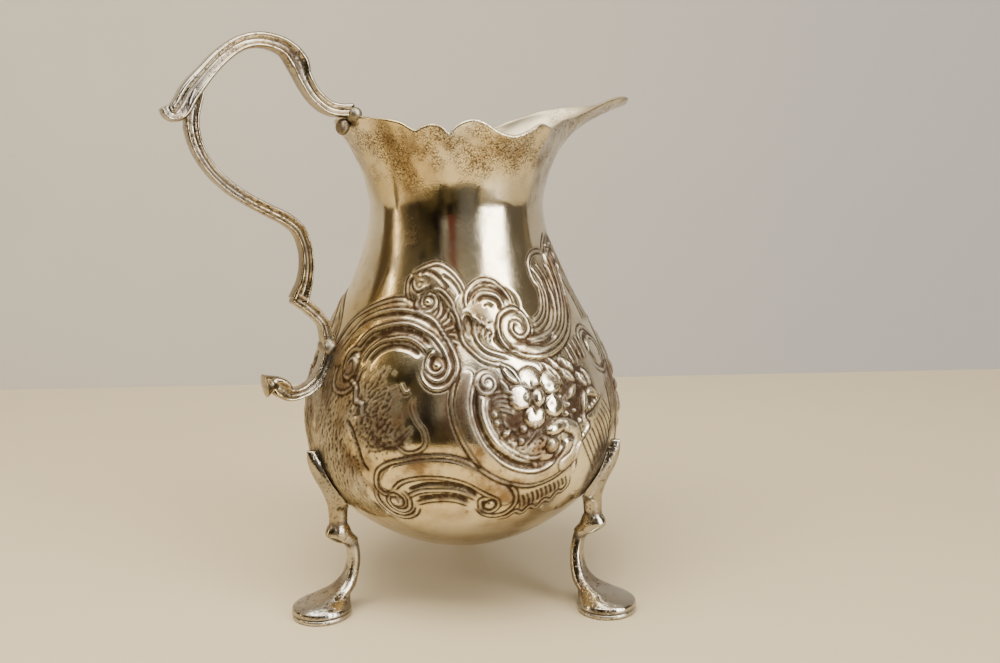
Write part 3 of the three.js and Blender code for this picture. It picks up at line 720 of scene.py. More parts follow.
# beaded line, and the fine cut lines that sweep away from it
dimples(catmull([(-61, 39.2), (-67, 38.2), (-72.5, 37), (-70.8, 35.2), (-73.5, 33.6), (-77, 32), (-77.4, 30),
                 (-77, 28)], np.linspace(0, 1, 24)), 0.42, 0.4, 0)
groove([(-59, 39.4), (-66, 37.6), (-71, 36.6), (-69.4, 35), (-72.4, 33.2), (-75.8, 31.6), (-76, 28)], 0.3,
       0.2, taper=0.05, dark=0.9)
for k in range(10):
    t = k / 9
    groove([(-60.5 - 14 * t, 39.4 - 6 * t), (-56 - 15 * t, 36.8 - 6.2 * t), (-51.5 - 14 * t, 33 - 6.2 * t),
            (-50 - 13 * t, 30.6 - 5.6 * t)], 0.24, 0.14, taper=0.2, dark=1)
for k in range(6):
    groove([(-47 + 4.4 * k, 47 - 0.5 * k), (-45 + 4.4 * k, 42), (-45.6 + 4 * k, 36), (-48 + 4 * k, 30)], 0.3,
           0.14, taper=0.2, dark=0.9)
ridge([(-53, 42), (-52.6, 36), (-55, 30), (-60, 25)], 0.45, 0.34)

# long oval scroll on the right
dome(-52.5, 46.8, 2.6, 3.3, 0.4, turn=30, edge=0.1, dark=0.2)
ridge([(-60.4, 47.4), (-60, 49.6), (-55.4, 50.6), (-49.4, 49.8), (-44.8, 47.2), (-44.6, 44.6), (-48.4, 43),
       (-54, 43.2), (-59, 44.8)], 0.45, 0.38)
ridge([(-56.6, 47.6), (-54, 48.8), (-50, 47.6), (-49.6, 45.6), (-52.6, 44.8)], 0.4, 0.32)
groove([(-58, 46.4), (-57.6, 48.4), (-53.6, 49.4), (-48.6, 48), (-47, 45.6)], 0.35, 0.3, dark=0.95)
between([(-72.4, 48.4), (-71.4, 47), (-70.4, 45.6)], [(-63.4, 50), (-62.6, 48), (-62.4, 45.6)], 4, 0.4, 0.32)

# painted shadow where the shields stand off the bowl: the bowl is darkened there
for angle in (-180, -60):
    ground(angle, 25, 4.4, 7.6, 0, 0.95)
# front panel under the lip: two fluted shells between scrolls, and a row of pearls down the middle
ground(-48, 39, 3.4, 8, 0.08, 0.5)
ground(-25, 38, 6.4, 8, 0.12, 0.5)
shell = dict(foot=(-15, 36.4), centre=(-25, 38.4), reach=(15, 9), flutes=9, first=62, turn=29, bow=0.5)
for k in range(shell["flutes"]):
    way = math.radians(shell["first"] + shell["turn"] * k)
    tipAngle = shell["centre"][0] + shell["reach"][0] * math.cos(way)
    tipHeight = shell["centre"][1] + shell["reach"][1] * math.sin(way)
    waist = ((shell["foot"][0] + tipAngle) / 2, (shell["foot"][1] + tipHeight) / 2 + shell["bow"])
    band([shell["foot"], waist, (tipAngle, tipHeight)], [0.2, 0.75, 1.15, 0.7], rounded, 0.42, over=0.5,
         dark=0.8)
ridge([(-44, 40), (-40.4, 46.4), (-30, 50.6), (-18, 50), (-10, 46.4), (-9, 42), (-14, 40), (-18, 42)], 0.55,
      0.42)
ridge([(-46, 36), (-42, 29), (-32, 26), (-20, 27.6), (-12, 32), (-12, 36.4), (-17, 37.6)], 0.55, 0.42)
for height, size in [(31, 1.1), (34.2, 1.4), (38, 1.7), (42.4, 1.9), (46.8, 1.6), (50.4, 1.3), (53.4, 1)]:
    dome(0, height, size * 0.85, size, 0.6)
between([(-20, 52), (-12, 58), (-4, 62)], [(-8, 52), (-5, 56), (-2, 59)], 4, 0.45, 0.34)

# matted ground towards the handle: hair-fine strokes, a swirled patch, and a wavering edge
ground(-147, 39.5, 5.6, 5.6, 0.05, 0.22)
ground(-167, 38, 5, 6.5, 0.04, 0.15)
scribble((-179, 24), (-157, 45), 420, (2.6, 6.5), 80, 0.16, 0.12, 0.36)
scribble((-158, 35), (-141, 45), 300, (0.8, 2.6), 50, 0.16, 0.14, 0.5)
scribble((-152, 34), (-137, 38), 130, (0.8, 2), -8, 0.16, 0.12, 0.45)
scribble((-166, 22), (-150, 33), 90, (2.5, 5), 112, 0.14, 0.1, 0.28)
dimples(np.column_stack([rng.normal(-149, 5, 260), rng.normal(36, 2, 260)]), 0.24, -0.12, 0.6)
for angles, heights, count in [((-106, -88), (31.8, 37.5), 300), ((-84, -64), (34, 48), 260)]:
    dimples(np.column_stack([rng.uniform(*angles, count), rng.uniform(*heights, count)]), 0.24, -0.1, 0.6)
ridge([(-153, 33.4), (-146, 33.6), (-140.5, 34.6), (-136.4, 33.4), (-131.4, 34), (-129.6, 35.2),
       (-130.2, 37), (-132.6, 38.6), (-134.6, 41), (-133.6, 43)], 0.3, 0.22)
for k in range(4):
    ridge([(-151 + 1.2 * k, 37 - 0.4 * k), (-146 + k, 34.9 - 0.3 * k), (-140.6, 34.6 - 0.2 * k),
           (-137 + k, 36.4 + 0.4 * k)], 0.16, 0.12)
ridge([(-162, 44.4), (-157.5, 43), (-156.6, 41), (-153.6, 40.6), (-153.4, 38.6)], 0.6, 0.6)
groove([(-160.5, 38), (-156.6, 36.2), (-154.4, 33.6), (-153, 31), (-150.4, 29.2)], 0.34, 0.26, dark=1)
dimples(catmull([(-155.6, 34), (-155.2, 30), (-153.4, 26.6)], np.linspace(0, 1, 12)), 0.26, -0.12, 0.9)
ridge([(-139.5, 44.4), (-137.2, 43), (-135.4, 43.4)], 0.4, 0.26)
print("relief: from", round(relief.lift.min(), 2), "to", round(relief.lift.max(), 2))


def blurred(field, passes):
    for _ in range(passes):
        padded = np.pad(field, ((1, 1), (0, 0)), mode="edge")
        field = (padded[:-2] + 2 * field + padded[2:]) / 4
        field = (np.roll(field, 1, 1) + 2 * field + np.roll(field, -1, 1)) / 4
    return field


fade = (smooth(*grid["fadeLow"], rowHeights) * (1 - smooth(*grid["fadeHigh"], rowHeights)))[:, None]
nearLift = relief.lift * fade
lift = np.hstack([nearLift, nearLift[:, -2:0:-1]])
cuts = np.hstack([relief.dark, relief.dark[:, -2:0:-1]]) * fade
softened = blurred(lift, 1)
wear = dict(
    broad=(18, 0.01, 7, 0.8),  # hollows: passes of blurring, depth that is left out, gain, share
    narrow=(4, 0, 12, 0.7),
    cutShare=0.5,
    proud=(10, 5),  # passes, gain
    chased=(12, 0.02),  # passes, least depth
)


def hollowed(passes, least, gain, share):
    # how far the relief lies under a blurred copy of itself
    return np.clip((blurred(lift, passes) - softened - least) * gain, 0, 1) * share


hollow = hollowed(*wear["broad"]) + hollowed(*wear["narrow"])
hollow = np.clip(hollow + (cuts + blurred(cuts, 1)) * wear["cutShare"], 0, 1)
proudPasses, proudGain = wear["proud"]
proud = np.clip((softened - blurred(lift, proudPasses)) * proudGain, 0, 1)
chasedPasses, chasedLeast = wear["chased"]
chased = np.clip(blurred((np.abs(lift) > chasedLeast).astype(float), chasedPasses), 0, 1)

# old tarnish lies in soft patches, and the dark streak up the left of the neck is a painted reflection:
# angle, height, half size across and along, strength
stainAndReflectionSpots = [
    # the spots near -143 to -150 degrees, 60 to 80 mm high, paint a dark reflection up the neck
    (-146, 80, 2.2, 4, 0.9), (-147, 75, 1.6, 4, 0.8), (-150, 70, 1.2, 4, 0.6), (-138, 83, 5, 2, 0.6),
    (-60, 80, 1.6, 2.4, 0.8), (-57, 76.5, 1.4, 1.6, 0.6), (-120, 84, 8, 1.4, 0.5),
    (-100, 83, 9, 1.2, 0.45), (-78, 82, 7, 1.4, 0.4), (-166, 44, 1.2, 3.4, 0.9),
    (-163, 40, 2, 2.4, 0.7), (-152, 31, 2.4, 3.2, 0.5), (-124, 22, 5, 2, 0.5), (-97, 19, 8, 1.6, 0.55),
    (-70, 21, 6, 2, 0.5), (-112, 15, 9, 1.6, 0.5), (-80, 14, 9, 1.8, 0.45), (-152, 84, 2, 2.4, 0.8),
    (-143, 77, 1.4, 5, 0.6), (-131, 79, 3, 2.6, 0.45), (-126, 25, 0.5, 0.5, 0.9),
    (-117, 22.6, 0.4, 0.5, 0.9), (-133, 32.4, 3, 1.2, 0.6), (-121, 32, 2.4, 0.7, 0.5),
    (-100, 28, 3, 0.8, 0.5), (-136, 60, 3, 2, 0.35), (-118, 66, 4, 3, 0.3), (-60, 62, 4, 3, 0.4),
    (-124, 57, 1.6, 3, 0.85), (-122, 51, 1.2, 3, 0.7), (-141, 38, 3.4, 2.6, 0.7),
    (-132, 41, 3, 3, 0.6), (-92, 33, 2.6, 2.2, 0.7), (-146, 66, 1.4, 5, 0.7), (-149, 60, 1, 5, 0.6),
    (-172, 41, 2.4, 5, 0.7), (-66, 47, 2.4, 2, 0.6), (-104, 27, 5, 1.4, 0.5), (-48, 32, 3, 4, 0.5),
    (-40, 42, 3, 4, 0.4), (-125, 37, 4, 3, 0.45), (-118, 70, 1.4, 4, 0.35), (180, 46, 9, 3, 0.6),
]
stain = np.zeros(lift.shape)
nearTurns = np.where(turns > 0, -turns, turns)
for angle, height, across, along, strength in stainAndReflectionSpots:
    perDegree = math.radians(1) * radiusAt(height)
    off = (nearTurns - (angle if angle < 0 else -angle)) * perDegree
    bell = np.exp(-((off[None, :] / across) ** 2) - ((rowHeights - height) / along)[:, None] ** 2)
    stain = np.maximum(stain, strength * bell)

body = dict(innerRows=44, innerEnd=0.03, edgeRows=3, edgeBulge=0.3)
outer = skinPoints + skinNormals * softened[..., None]
innerAlongs = np.linspace(1, body["innerEnd"], body["innerRows"])
inner, _ = skinGrid(innerAlongs, turns, jug["wall"])
columns = len(turns)
brim, brimNormals = skinGrid(np.array([1.0]), turns, jug["wall"] / 2)
upward = unit(outer[-1] - outer[-3])
roundRows = []
for k in range(1, body["edgeRows"] + 1):
    t = math.pi * k / (body["edgeRows"] + 1)
    roundRows.append(
        brim[0] + brimNormals[0] * jug["wall"] / 2 * math.cos(t) + upward * body["edgeBulge"] * math.sin(t)
    )
rows = np.concatenate([outer, np.stack(roundRows), inner])
pointCount = rows.shape[0] * columns
points = np.vstack([
    rows.reshape(-1, 3),
    [[0, 0, jug["baseHeight"]], [0, 0, jug["baseHeight"] + jug["wall"]]],
])
points[:, 0] += axisX
first = np.arange(columns)
following = (first + 1) % columns
bottom = np.stack([np.full(columns, pointCount), following, first], -1)
lastRow = (rows.shape[0] - 1) * columns
insideBottom = np.stack([np.full(columns, pointCount + 1), lastRow + first, lastRow + following], -1)


def padRows(field):
    extra = rows.shape[0] - field.shape[0]
    return np.concatenate([field.ravel(), np.zeros(extra * columns + 2)])


innerSkin = np.zeros(len(points))
innerSkin[(len(outer) + 1) * columns:] = 1
innerSkin[-2] = 0
bodyFields = {"hollow": hollow, "proud": proud, "chased": chased, "stain": stain}
makeMesh(
    "jug_body_chased",
    points,
    gridQuads(rows.shape[0], columns),
    np.vstack([bottom, insideBottom]),
    "body_silver",
    ["jug_body"],
    dict({key: padRows(field) for key, field in bodyFields.items()}, inside=innerSkin),
)
print("body:", len(points), "points")


# handle
handle = dict(
    swell=1.12,  # every size below is taken this much larger
    ovalOver=0.08,  # share of the bar over which its section turns oval
    endSteps=4,  # steps over which an end rounds off
    worn=(0.025, 61, 23),  # share and waves of its uneven width
    tarnishPlace=(0.02, 0.5),  # tarnish down the flanks: where across, half width
    tarnish=(0.45, 0.3, 17, 2),  # its mean, how much it comes and goes, waves, shift
    tarnishEnds=0.4,
    reach=51,
    height=99.9,
    footReach=jug["bellyRadius"] - 2.9,
    footHeight=jug["bellyHeight"] + 15,
    # each row is reach, height, thickness in the handle's plane, width across it
    upper=[
        (-0.28, 0.788, 1.9, 3.0), (-0.192, 0.784, 2.1, 3.0), (-0.093, 0.793, 2.2, 2.8),
        (0.005, 0.83, 2.3, 2.7), (0.078, 0.888, 2.5, 2.8), (0.114, 0.935, 3.2, 3.0),
        (0.192, 0.978, 2.6, 2.9), (0.33, 1, 2.3, 2.8), (0.472, 0.992, 2.2, 2.7),
        (0.615, 0.95, 2.3, 2.7), (0.737, 0.893, 2.5, 2.8), (0.841, 0.835, 2.9, 2.9),
        (0.905, 0.787, 2.9, 2.9), (0.945, 0.772, 2.3, 2.7), (0.975, 0.776, 2.1, 2.5),
        (0.992, 0.796, 2.0, 2.3),
    ],
    lower=[
        (0.776, 0.85, 1.6, 2.3), (0.814, 0.805, 2.1, 2.5), (0.838, 0.755, 2.1, 2.5),
        (0.833, 0.705, 2.0, 2.4), (0.796, 0.65, 1.9, 2.4), (0.719, 0.592, 1.8, 2.4),
        (0.61, 0.541, 1.8, 2.4), (0.485, 0.5, 1.8, 2.4), (0.355, 0.465, 1.9, 2.4),
        (0.246, 0.436, 2.0, 2.4), (0.168, 0.402, 2.0, 2.4), (0.132, 0.36, 1.9, 2.4),
        (0.116, 0.315, 1.9, 2.5), (0.121, 0.262, 2.0, 2.6), (0.142, 0.22, 2.2, 2.7),
        (0.168, 0.188, 2.6, 2.8), (0.19, 0.163, 2.9, 2.9),
    ],
    tail=[
        (0.228, 0.182, 2.0, 2.9), (0.114, 0.138, 2.0, 2.7), (0.021, 0.085, 1.8, 2.5),
        (-0.005, 0.03, 2.0, 2.6), (-0.01, -0.02, 2.2, 2.7), (0.036, -0.075, 2.0, 2.6),
        (0.104, -0.118, 1.9, 2.5), (0.202, -0.142, 1.8, 2.5), (0.296, -0.142, 2.2, 2.8),
        (0.352, -0.118, 3.0, 3.0), (0.41, -0.104, 2.7, 2.6), (0.468, -0.106, 3.9, 3.5),
    ],
)


def handlePoint(reach, height):
    return (
        -(handle["footReach"] + (handle["reach"] - handle["footReach"]) * reach),
        0,
        handle["footHeight"] + (handle["height"] - handle["footHeight"]) * height,
    )


# half of the bar's section: place from its inner to its outer face, half width there
barSection = [
    (-1, 0.02), (-1, 0.4), (-0.97, 0.72), (-0.84, 0.93), (-0.66, 0.98), (-0.5, 0.86), (-0.3, 0.66),
    (-0.05, 0.58), (0.2, 0.62), (0.4, 0.8), (0.56, 0.97), (0.72, 1), (0.86, 0.9), (0.95, 0.66),
    (1, 0.34), (1, 0.02),
]


def scroll(rows, roundFrom, steps=260, sides=36):
    # a bar along the rows, with an edge down each side of its hollowed flanks, turning oval past roundFrom
    t = np.linspace(0, 1, steps)
    line = catmull([handlePoint(r[0], r[1]) for r in rows], t)
    sizes = catmull([(r[2], r[3], 0) for r in rows], t) * handle["swell"]
    tangent = unit(np.gradient(line, axis=0))
    outward = np.stack([-tangent[:, 2], 0 * t, tangent[:, 0]], -1)
    oneSide = catmull([(u, v, 0) for u, v in barSection], np.linspace(0, 1, sides))
    across = np.concatenate([oneSide[:, 0], oneSide[::-1, 0]])
    sideways = np.concatenate([oneSide[:, 1], -oneSide[::-1, 1]])
    oval = smooth(roundFrom, roundFrom + handle["ovalOver"], t)[:, None]
    full = np.sign(sideways) * np.sqrt(np.clip(1 - across**2, 0, 1))
    sideways = sideways * (1 - oval) + full * oval
    far = np.minimum(np.arange(steps), np.arange(steps)[::-1]) / handle["endSteps"]
    end = np.sqrt(np.clip(1 - (1 - np.clip(far, 0, 1)) ** 2, 0.02, 1))
    amount, quick, slow = handle["worn"]
    worn = 1 + amount * np.sin(t * quick) * np.sin(t * slow + 1)  # cast by hand, never quite even
    rings = (
        line[:, None]
        + outward[:, None] * (across * (sizes[:, :1] / 2) * end[:, None])[..., None]
        + np.array([0, 1, 0]) * (sideways * (sizes[:, 1:2] / 2) * (end * worn)[:, None])[..., None]
    )
    rings[..., 0] += axisX
    middle, halfWidth = handle["tarnishPlace"]
    mean, change, waves, shift = handle["tarnish"]
    tarnished = np.clip(1 - np.abs(across - middle) / halfWidth, 0, 1)
    tarnished = tarnished * (mean + change * np.sin(t * waves + shift))[:, None]
    return rings, np.append(tarnished.ravel(), [handle["tarnishEnds"]] * 2)


for part, roundFrom in [("upper", 1), ("lower", 1), ("tail", 0.84)]:
    rings, tarnished = scroll(handle[part], roundFrom)
    fields = {"hollow": tarnished}
    makeMesh(f"handle_{part}", *tube(rings), "cast_silver", [f"handle_{part}_scroll"], fields)


# legs and soles
leg = dict(
    radius=29.5,
    height=jug["bellyHeight"] - 3,
    twist=7,
    # height share, spread, strength
    tarnish=[(0.03, 0.012, 0.9), (0.4, 0.016, 0.7), (0.545, 0.018, 0.6), (0.8, 0.06, 0.25)],
    backTarnish=(0.4, 0.7),  # strength, spread round the leg in radians
    endTarnish=[0.6, 0],
    shankFrom=(0.075, 0.13),  # height shares over which the shank begins and ends, and the neck begins
    shankTo=(0.36, 0.41),
    neckFrom=(0.52, 0.56),
    hollow=(0.3, 0.62),  # the shank's hollowed front: depth, spread in radians
    flange=(0.1, 0.95, 0.3),  # its two edges: rise, place, spread
    keel=(0.12, 0.22),  # edge down the front of the shield: rise, spread
    neckSquare=0.25,
    seat=0.28,  # how far the shield stands off the bowl's plain skin
    leanOver=(0.1, 0.5),  # height shares over which the twist comes in
    # radius, height
    sole=[(4.6, 0), (5.0, 0.05), (5.2, 0.22), (5.22, 0.55), (5.14, 0.78), (4.95, 0.9), (4.7, 0.98)],
    soleSides=72,
    # height share, outward from the sole's centre, depth, width
    rows=[
        (0.03, 0, 10.2, 10.2), (0.042, 0, 10.6, 10.6), (0.065, 0, 10.3, 10.2), (0.085, -0.5, 9.4, 8.8),
        (0.11, -1.8, 7.1, 6.6), (0.15, -4.15, 4.5, 4.6), (0.2, -5.45, 3.1, 3.6),
        (0.26, -6.15, 2.6, 3.2), (0.32, -6.45, 2.4, 3.0), (0.4, -6.05, 2.6, 3.1),
        (0.435, -4.95, 4.6, 3.6), (0.475, -3.85, 4.9, 3.9), (0.515, -3.75, 4.2, 3.6),
        (0.545, -3.85, 3.1, 3.2), (0.62, -3.95, 3.2, 3.6), (0.68, -4.05, 4.0, 6.2),
        (0.76, -3.45, 4.6, 6.4), (0.85, -2.05, 4.6, 4.6), (0.93, -0.75, 3.6, 2.8), (1, 0.15, 2.2, 1.0),
    ],
)


def turned(points, degrees):
    a = np.radians(degrees)
    c, s = np.cos(a), np.sin(a)
    x, y = points[..., 0] * c - points[..., 1] * s, points[..., 0] * s + points[..., 1] * c
    return np.stack([x, y, points[..., 2] + 0 * x], -1)


def legRings(twist, steps=170, sides=48):
    t = np.linspace(0, 1, steps)
    line = catmull([(leg["radius"] + r[1], 0, leg["height"] * r[0]) for r in leg["rows"]], t)
    sizes = catmull([(r[2], r[3], 0) for r in leg["rows"]], t)
    phi = np.linspace(0, 2 * np.pi, sides, endpoint=False)
    c, s = np.cos(phi), np.sin(phi)
    share = line[:, 2:] / leg["height"]
    bearing = (phi + np.pi) % (2 * np.pi) - np.pi
    shank = smooth(*leg["shankFrom"], share) * (1 - smooth(*leg["shankTo"], share))
    neck = smooth(*leg["neckFrom"], share)
    depth, spread = leg["hollow"]
    swell = 1 - depth * shank * np.exp(-((bearing / spread) ** 2))
    rise, place, spread = leg["flange"]
    swell = swell + rise * shank * np.exp(-(((np.abs(bearing) - place) / spread) ** 2))
    rise, spread = leg["keel"]
    swell = swell + rise * neck * np.exp(-((bearing / spread) ** 2))
    rings = line[:, None] + np.stack([
        c * sizes[:, :1] / 2 * swell,
        np.sign(s) * np.abs(s) ** (1 - leg["neckSquare"] * neck) * sizes[:, 1:2] / 2 * (0.5 + 0.5 * swell),
        np.zeros((steps, sides)),
    ], -1)
    # the shield lies on the bowl
    radial = np.hypot(rings[..., 0], rings[..., 1])
    seat = radiusAt(rings[..., 2]) + leg["seat"]
    push = np.maximum(seat / np.maximum(radial, 1e-6), 1)
    rings[..., :2] *= push[..., None]
    level = rings[..., 2] / leg["height"]
    lean = twist * smooth(*leg["leanOver"], level)
    tarnished = sum(
        strength * np.exp(-(((level - at) / spread) ** 2)) for at, spread, strength in leg["tarnish"]
    )
    strength, spread = leg["backTarnish"]
    tarnished = tarnished + strength * (1 - shank) * np.exp(-(((np.abs(bearing) - np.pi) / spread) ** 2))
    return turned(rings, lean), np.append(np.clip(tarnished, 0, 1).ravel(), leg["endTarnish"])


for place, turn, twist in [("back", 180, 0), ("front_near", -60, leg["twist"]),
                           ("front_far", 60, -leg["twist"])]:
    rings, tarnished = legRings(twist)
    rings = turned(rings, turn)
    rings[..., 0] += axisX
    makeMesh(f"leg_{place}_cast", *tube(rings), "cast_silver", [f"leg_{place}"], {"hollow": tarnished})
    phi = np.linspace(0, 2 * np.pi, leg["soleSides"], endpoint=False)
    rings = np.stack([np.stack([r * np.cos(phi), r * np.sin(phi), z + 0 * phi], -1) for r, z in leg["sole"]])
    rings[..., 0] += leg["radius"]
    rings = turned(rings, turn)
    rings[..., 0] += axisX
    makeMesh(f"sole_{place}_plate", *tube(rings), "sole_silver", [f"sole_{place}"])


# solder and bead
drop = dict(
    seed=3,
    steps=36,
    poleGap=0.08,
    bumps=8,
    bumpSize=(0.3, 1),
    bumpSpread=0.25,
    beadRadius=1.1,
    beadLumps=0.04,
    solderLumps=0.45,
    solderShare=(0.72, 0.66, 0.6),  # its half sizes as shares of the box it fills
)


def blob(centre, size, lumps):
    # a drop of metal with soft lumps
    local = np.random.default_rng(drop["seed"])
    phi = np.linspace(0, 2 * np.pi, drop["steps"], endpoint=False)
    theta = np.linspace(drop["poleGap"], np.pi - drop["poleGap"], drop["steps"] // 2)
    d = np.stack([
        np.sin(theta)[:, None] * np.cos(phi),
        np.sin(theta)[:, None] * np.sin(phi),
        np.cos(theta)[:, None] + 0 * phi,
    ], -1)
    swell = np.ones(d.shape[:2])
    for _ in range(drop["bumps"]):
        way = unit(local.normal(size=3))
        swell += lumps * local.uniform(*drop["bumpSize"]) * np.exp(-((1 - d @ way) / drop["bumpSpread"]))
    rings = np.asarray(centre) + d * np.asarray(size) * swell[..., None]
    return rings[::-1]


for name, node in [
    ("handle_rim_solder_blob", "handle_rim_solder"),
    ("handle_foot_solder_blob", "handle_foot_solder"),
    ("rim_bead_ball", "rim_bead"),
]:
    low, high = (np.array(v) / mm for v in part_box(node))
    if node == "rim_bead":
        size, lumps = np.full(3, drop["beadRadius"]), drop["beadLumps"]
    else:
        size, lumps = (high - low) / 2 * np.array(drop["solderShare"]), drop["solderLumps"]
    makeMesh(name, *tube(blob((low + high) / 2, size, lumps)), "solder", [node])
print("handle, legs and solder made")


# finishes
class Value:
    # wraps a socket, so that arithmetic on it adds Math nodes
    def __init__(self, tree, socket):
        self.tree, self.socket = tree, socket

    def join(self, operation, a, b=None):
        node = self.tree.nodes.new("ShaderNodeMath")
        node.operation = operation
        for k, value in enumerate((a, b)):
            if isinstance(value, Value):
                self.tree.links.new(value.socket, node.inputs[k])
            elif value is not None:
                node.inputs[k].default_value = value
        return Value(self.tree, node.outputs[0])

    def __add__(self, other):
        return self.join("ADD", self, other)

    __radd__ = __add__

    def __sub__(self, other):
        return self.join("SUBTRACT", self, other)

    def __rsub__(self, other):
        return self.join("SUBTRACT", other, self)

    def __mul__(self, other):
        return self.join("MULTIPLY", self, other)

    __rmul__ = __mul__

    def __truediv__(self, other):
        return self.join("DIVIDE", self, other)

    def __rtruediv__(self, other):
        return self.join("DIVIDE", other, self)

    def under(self, other):
        return self.join("MINIMUM", self, other)


class Nodes:
    # one node tree, with a single way to add any node
    def __init__(self, tree):
        self.tree = tree
        tree.nodes.clear()

    def add(self, kind, settings=None, **inputs):
        node = self.tree.nodes.new("ShaderNode" + kind)
        for key, value in (settings or {}).items():
            setattr(node, key, value)
        for key, value in inputs.items():
            names = [s for s in node.inputs if s.name.replace(" ", "") == key and s.enabled]
            self.feed(names[0], value)
        return node

    def feed(self, socket, value):
        if isinstance(value, Value):
            self.tree.links.new(value.socket, socket)
        elif isinstance(value, bpy.types.NodeSocket):
            self.tree.links.new(value, socket)
        elif isinstance(value, tuple) and len(value) == 3 and len(getattr(socket, "default_value", ())) == 4:
            socket.default_value = (*value, 1)
        else:
            socket.default_value = value

    def value(self, node, output=0):
        return Value(self.tree, node.outputs[output])

    def mix(self, factor, a, b):
        node = self.add("Mix", {"data_type": "RGBA", "clamp_factor": True})
        for socket, value in zip((node.inputs[0], node.inputs[6], node.inputs[7]), (factor, a, b)):
            self.feed(socket, value)
        return node.outputs[2]

    def spread(self, value, low, high, toLow=0.0, toHigh=1.0):
        # value from low..high to toLow..toHigh, smoothly
        return self.value(self.add(
            "MapRange",
            {"interpolation_type": "SMOOTHSTEP"},
            Value=value, FromMin=low, FromMax=high, ToMin=toLow, ToMax=toHigh,
        ))

    def noise(self, where, scale, detail=4.0, roughness=0.55):
        node = self.add("TexNoise", None, Vector=where, Scale=scale, Detail=detail, Roughness=roughness)
        return self.value(node)

    def field(self, name):
        # a number stored on the vertices
        return self.value(self.add("Attribute", {"attribute_name": name}), 2)

    def end(self, kind, shader):
        self.feed(self.add(kind).inputs[0], shader.outputs[0])


noises = dict(  # scale, detail and roughness
    cloud=(60, 5),
    cool=(95, 4),
    blotch=(140, 6, 0.62),
    mottle=(420, 5, 0.65),
    grain=(1100, 3, 0.6),
    speck=(1700, 2, 0.5),
    fine=(3300, 3, 0.65),
)
# where each change of colour begins and ends: in a noise, or in millimetres; then what it goes from and to
ranges = dict(
    handle=(-22, 26, 1.0, 0.35),
    film=(0.32, 0.62),
    brown=(0.5, 0.68),
    cool=(0.5, 0.7),
    stain=(0.25, 0.6, 0.55, 1.25),
    fine=(0.46, 0.56),
    finePatch=(0.4, 0.58),
    rim=(73, 80, 0.12, 1.0),
    speck=(0.55, 0.63),
    speckPatch=(0.38, 0.58),
    recess=(0.2, 0.7, 0.8, 1.15),
)
# how much of each layer shows
layering = dict(
    blotch=0.6,  # what the brown is made of
    mottle=0.4,
    chasing=0.07,
    brownOnChasing=0.4,
    greyLost=0.6,  # towards the handle
    stain=0.85,
    specks=0.8,
    inside=0.8,
    metalLost=0.15,  # in the recesses
)
surface = dict(
    grain=0.4,  # shares of the bump
    scratches=0.2,
    pits=0.7,
    scratchScale=(900, 900, 60),
    bumpDepth=0.00008,
    specular=0.15,
    roughMost=0.9,
)
# what each layer adds to the roughness
roughening = dict(
    inner=0.34, film=0.04, brown=0.2, chasing=0.03, recess=0.3, specks=0.3, stain=0.16, grain=0.04,
)


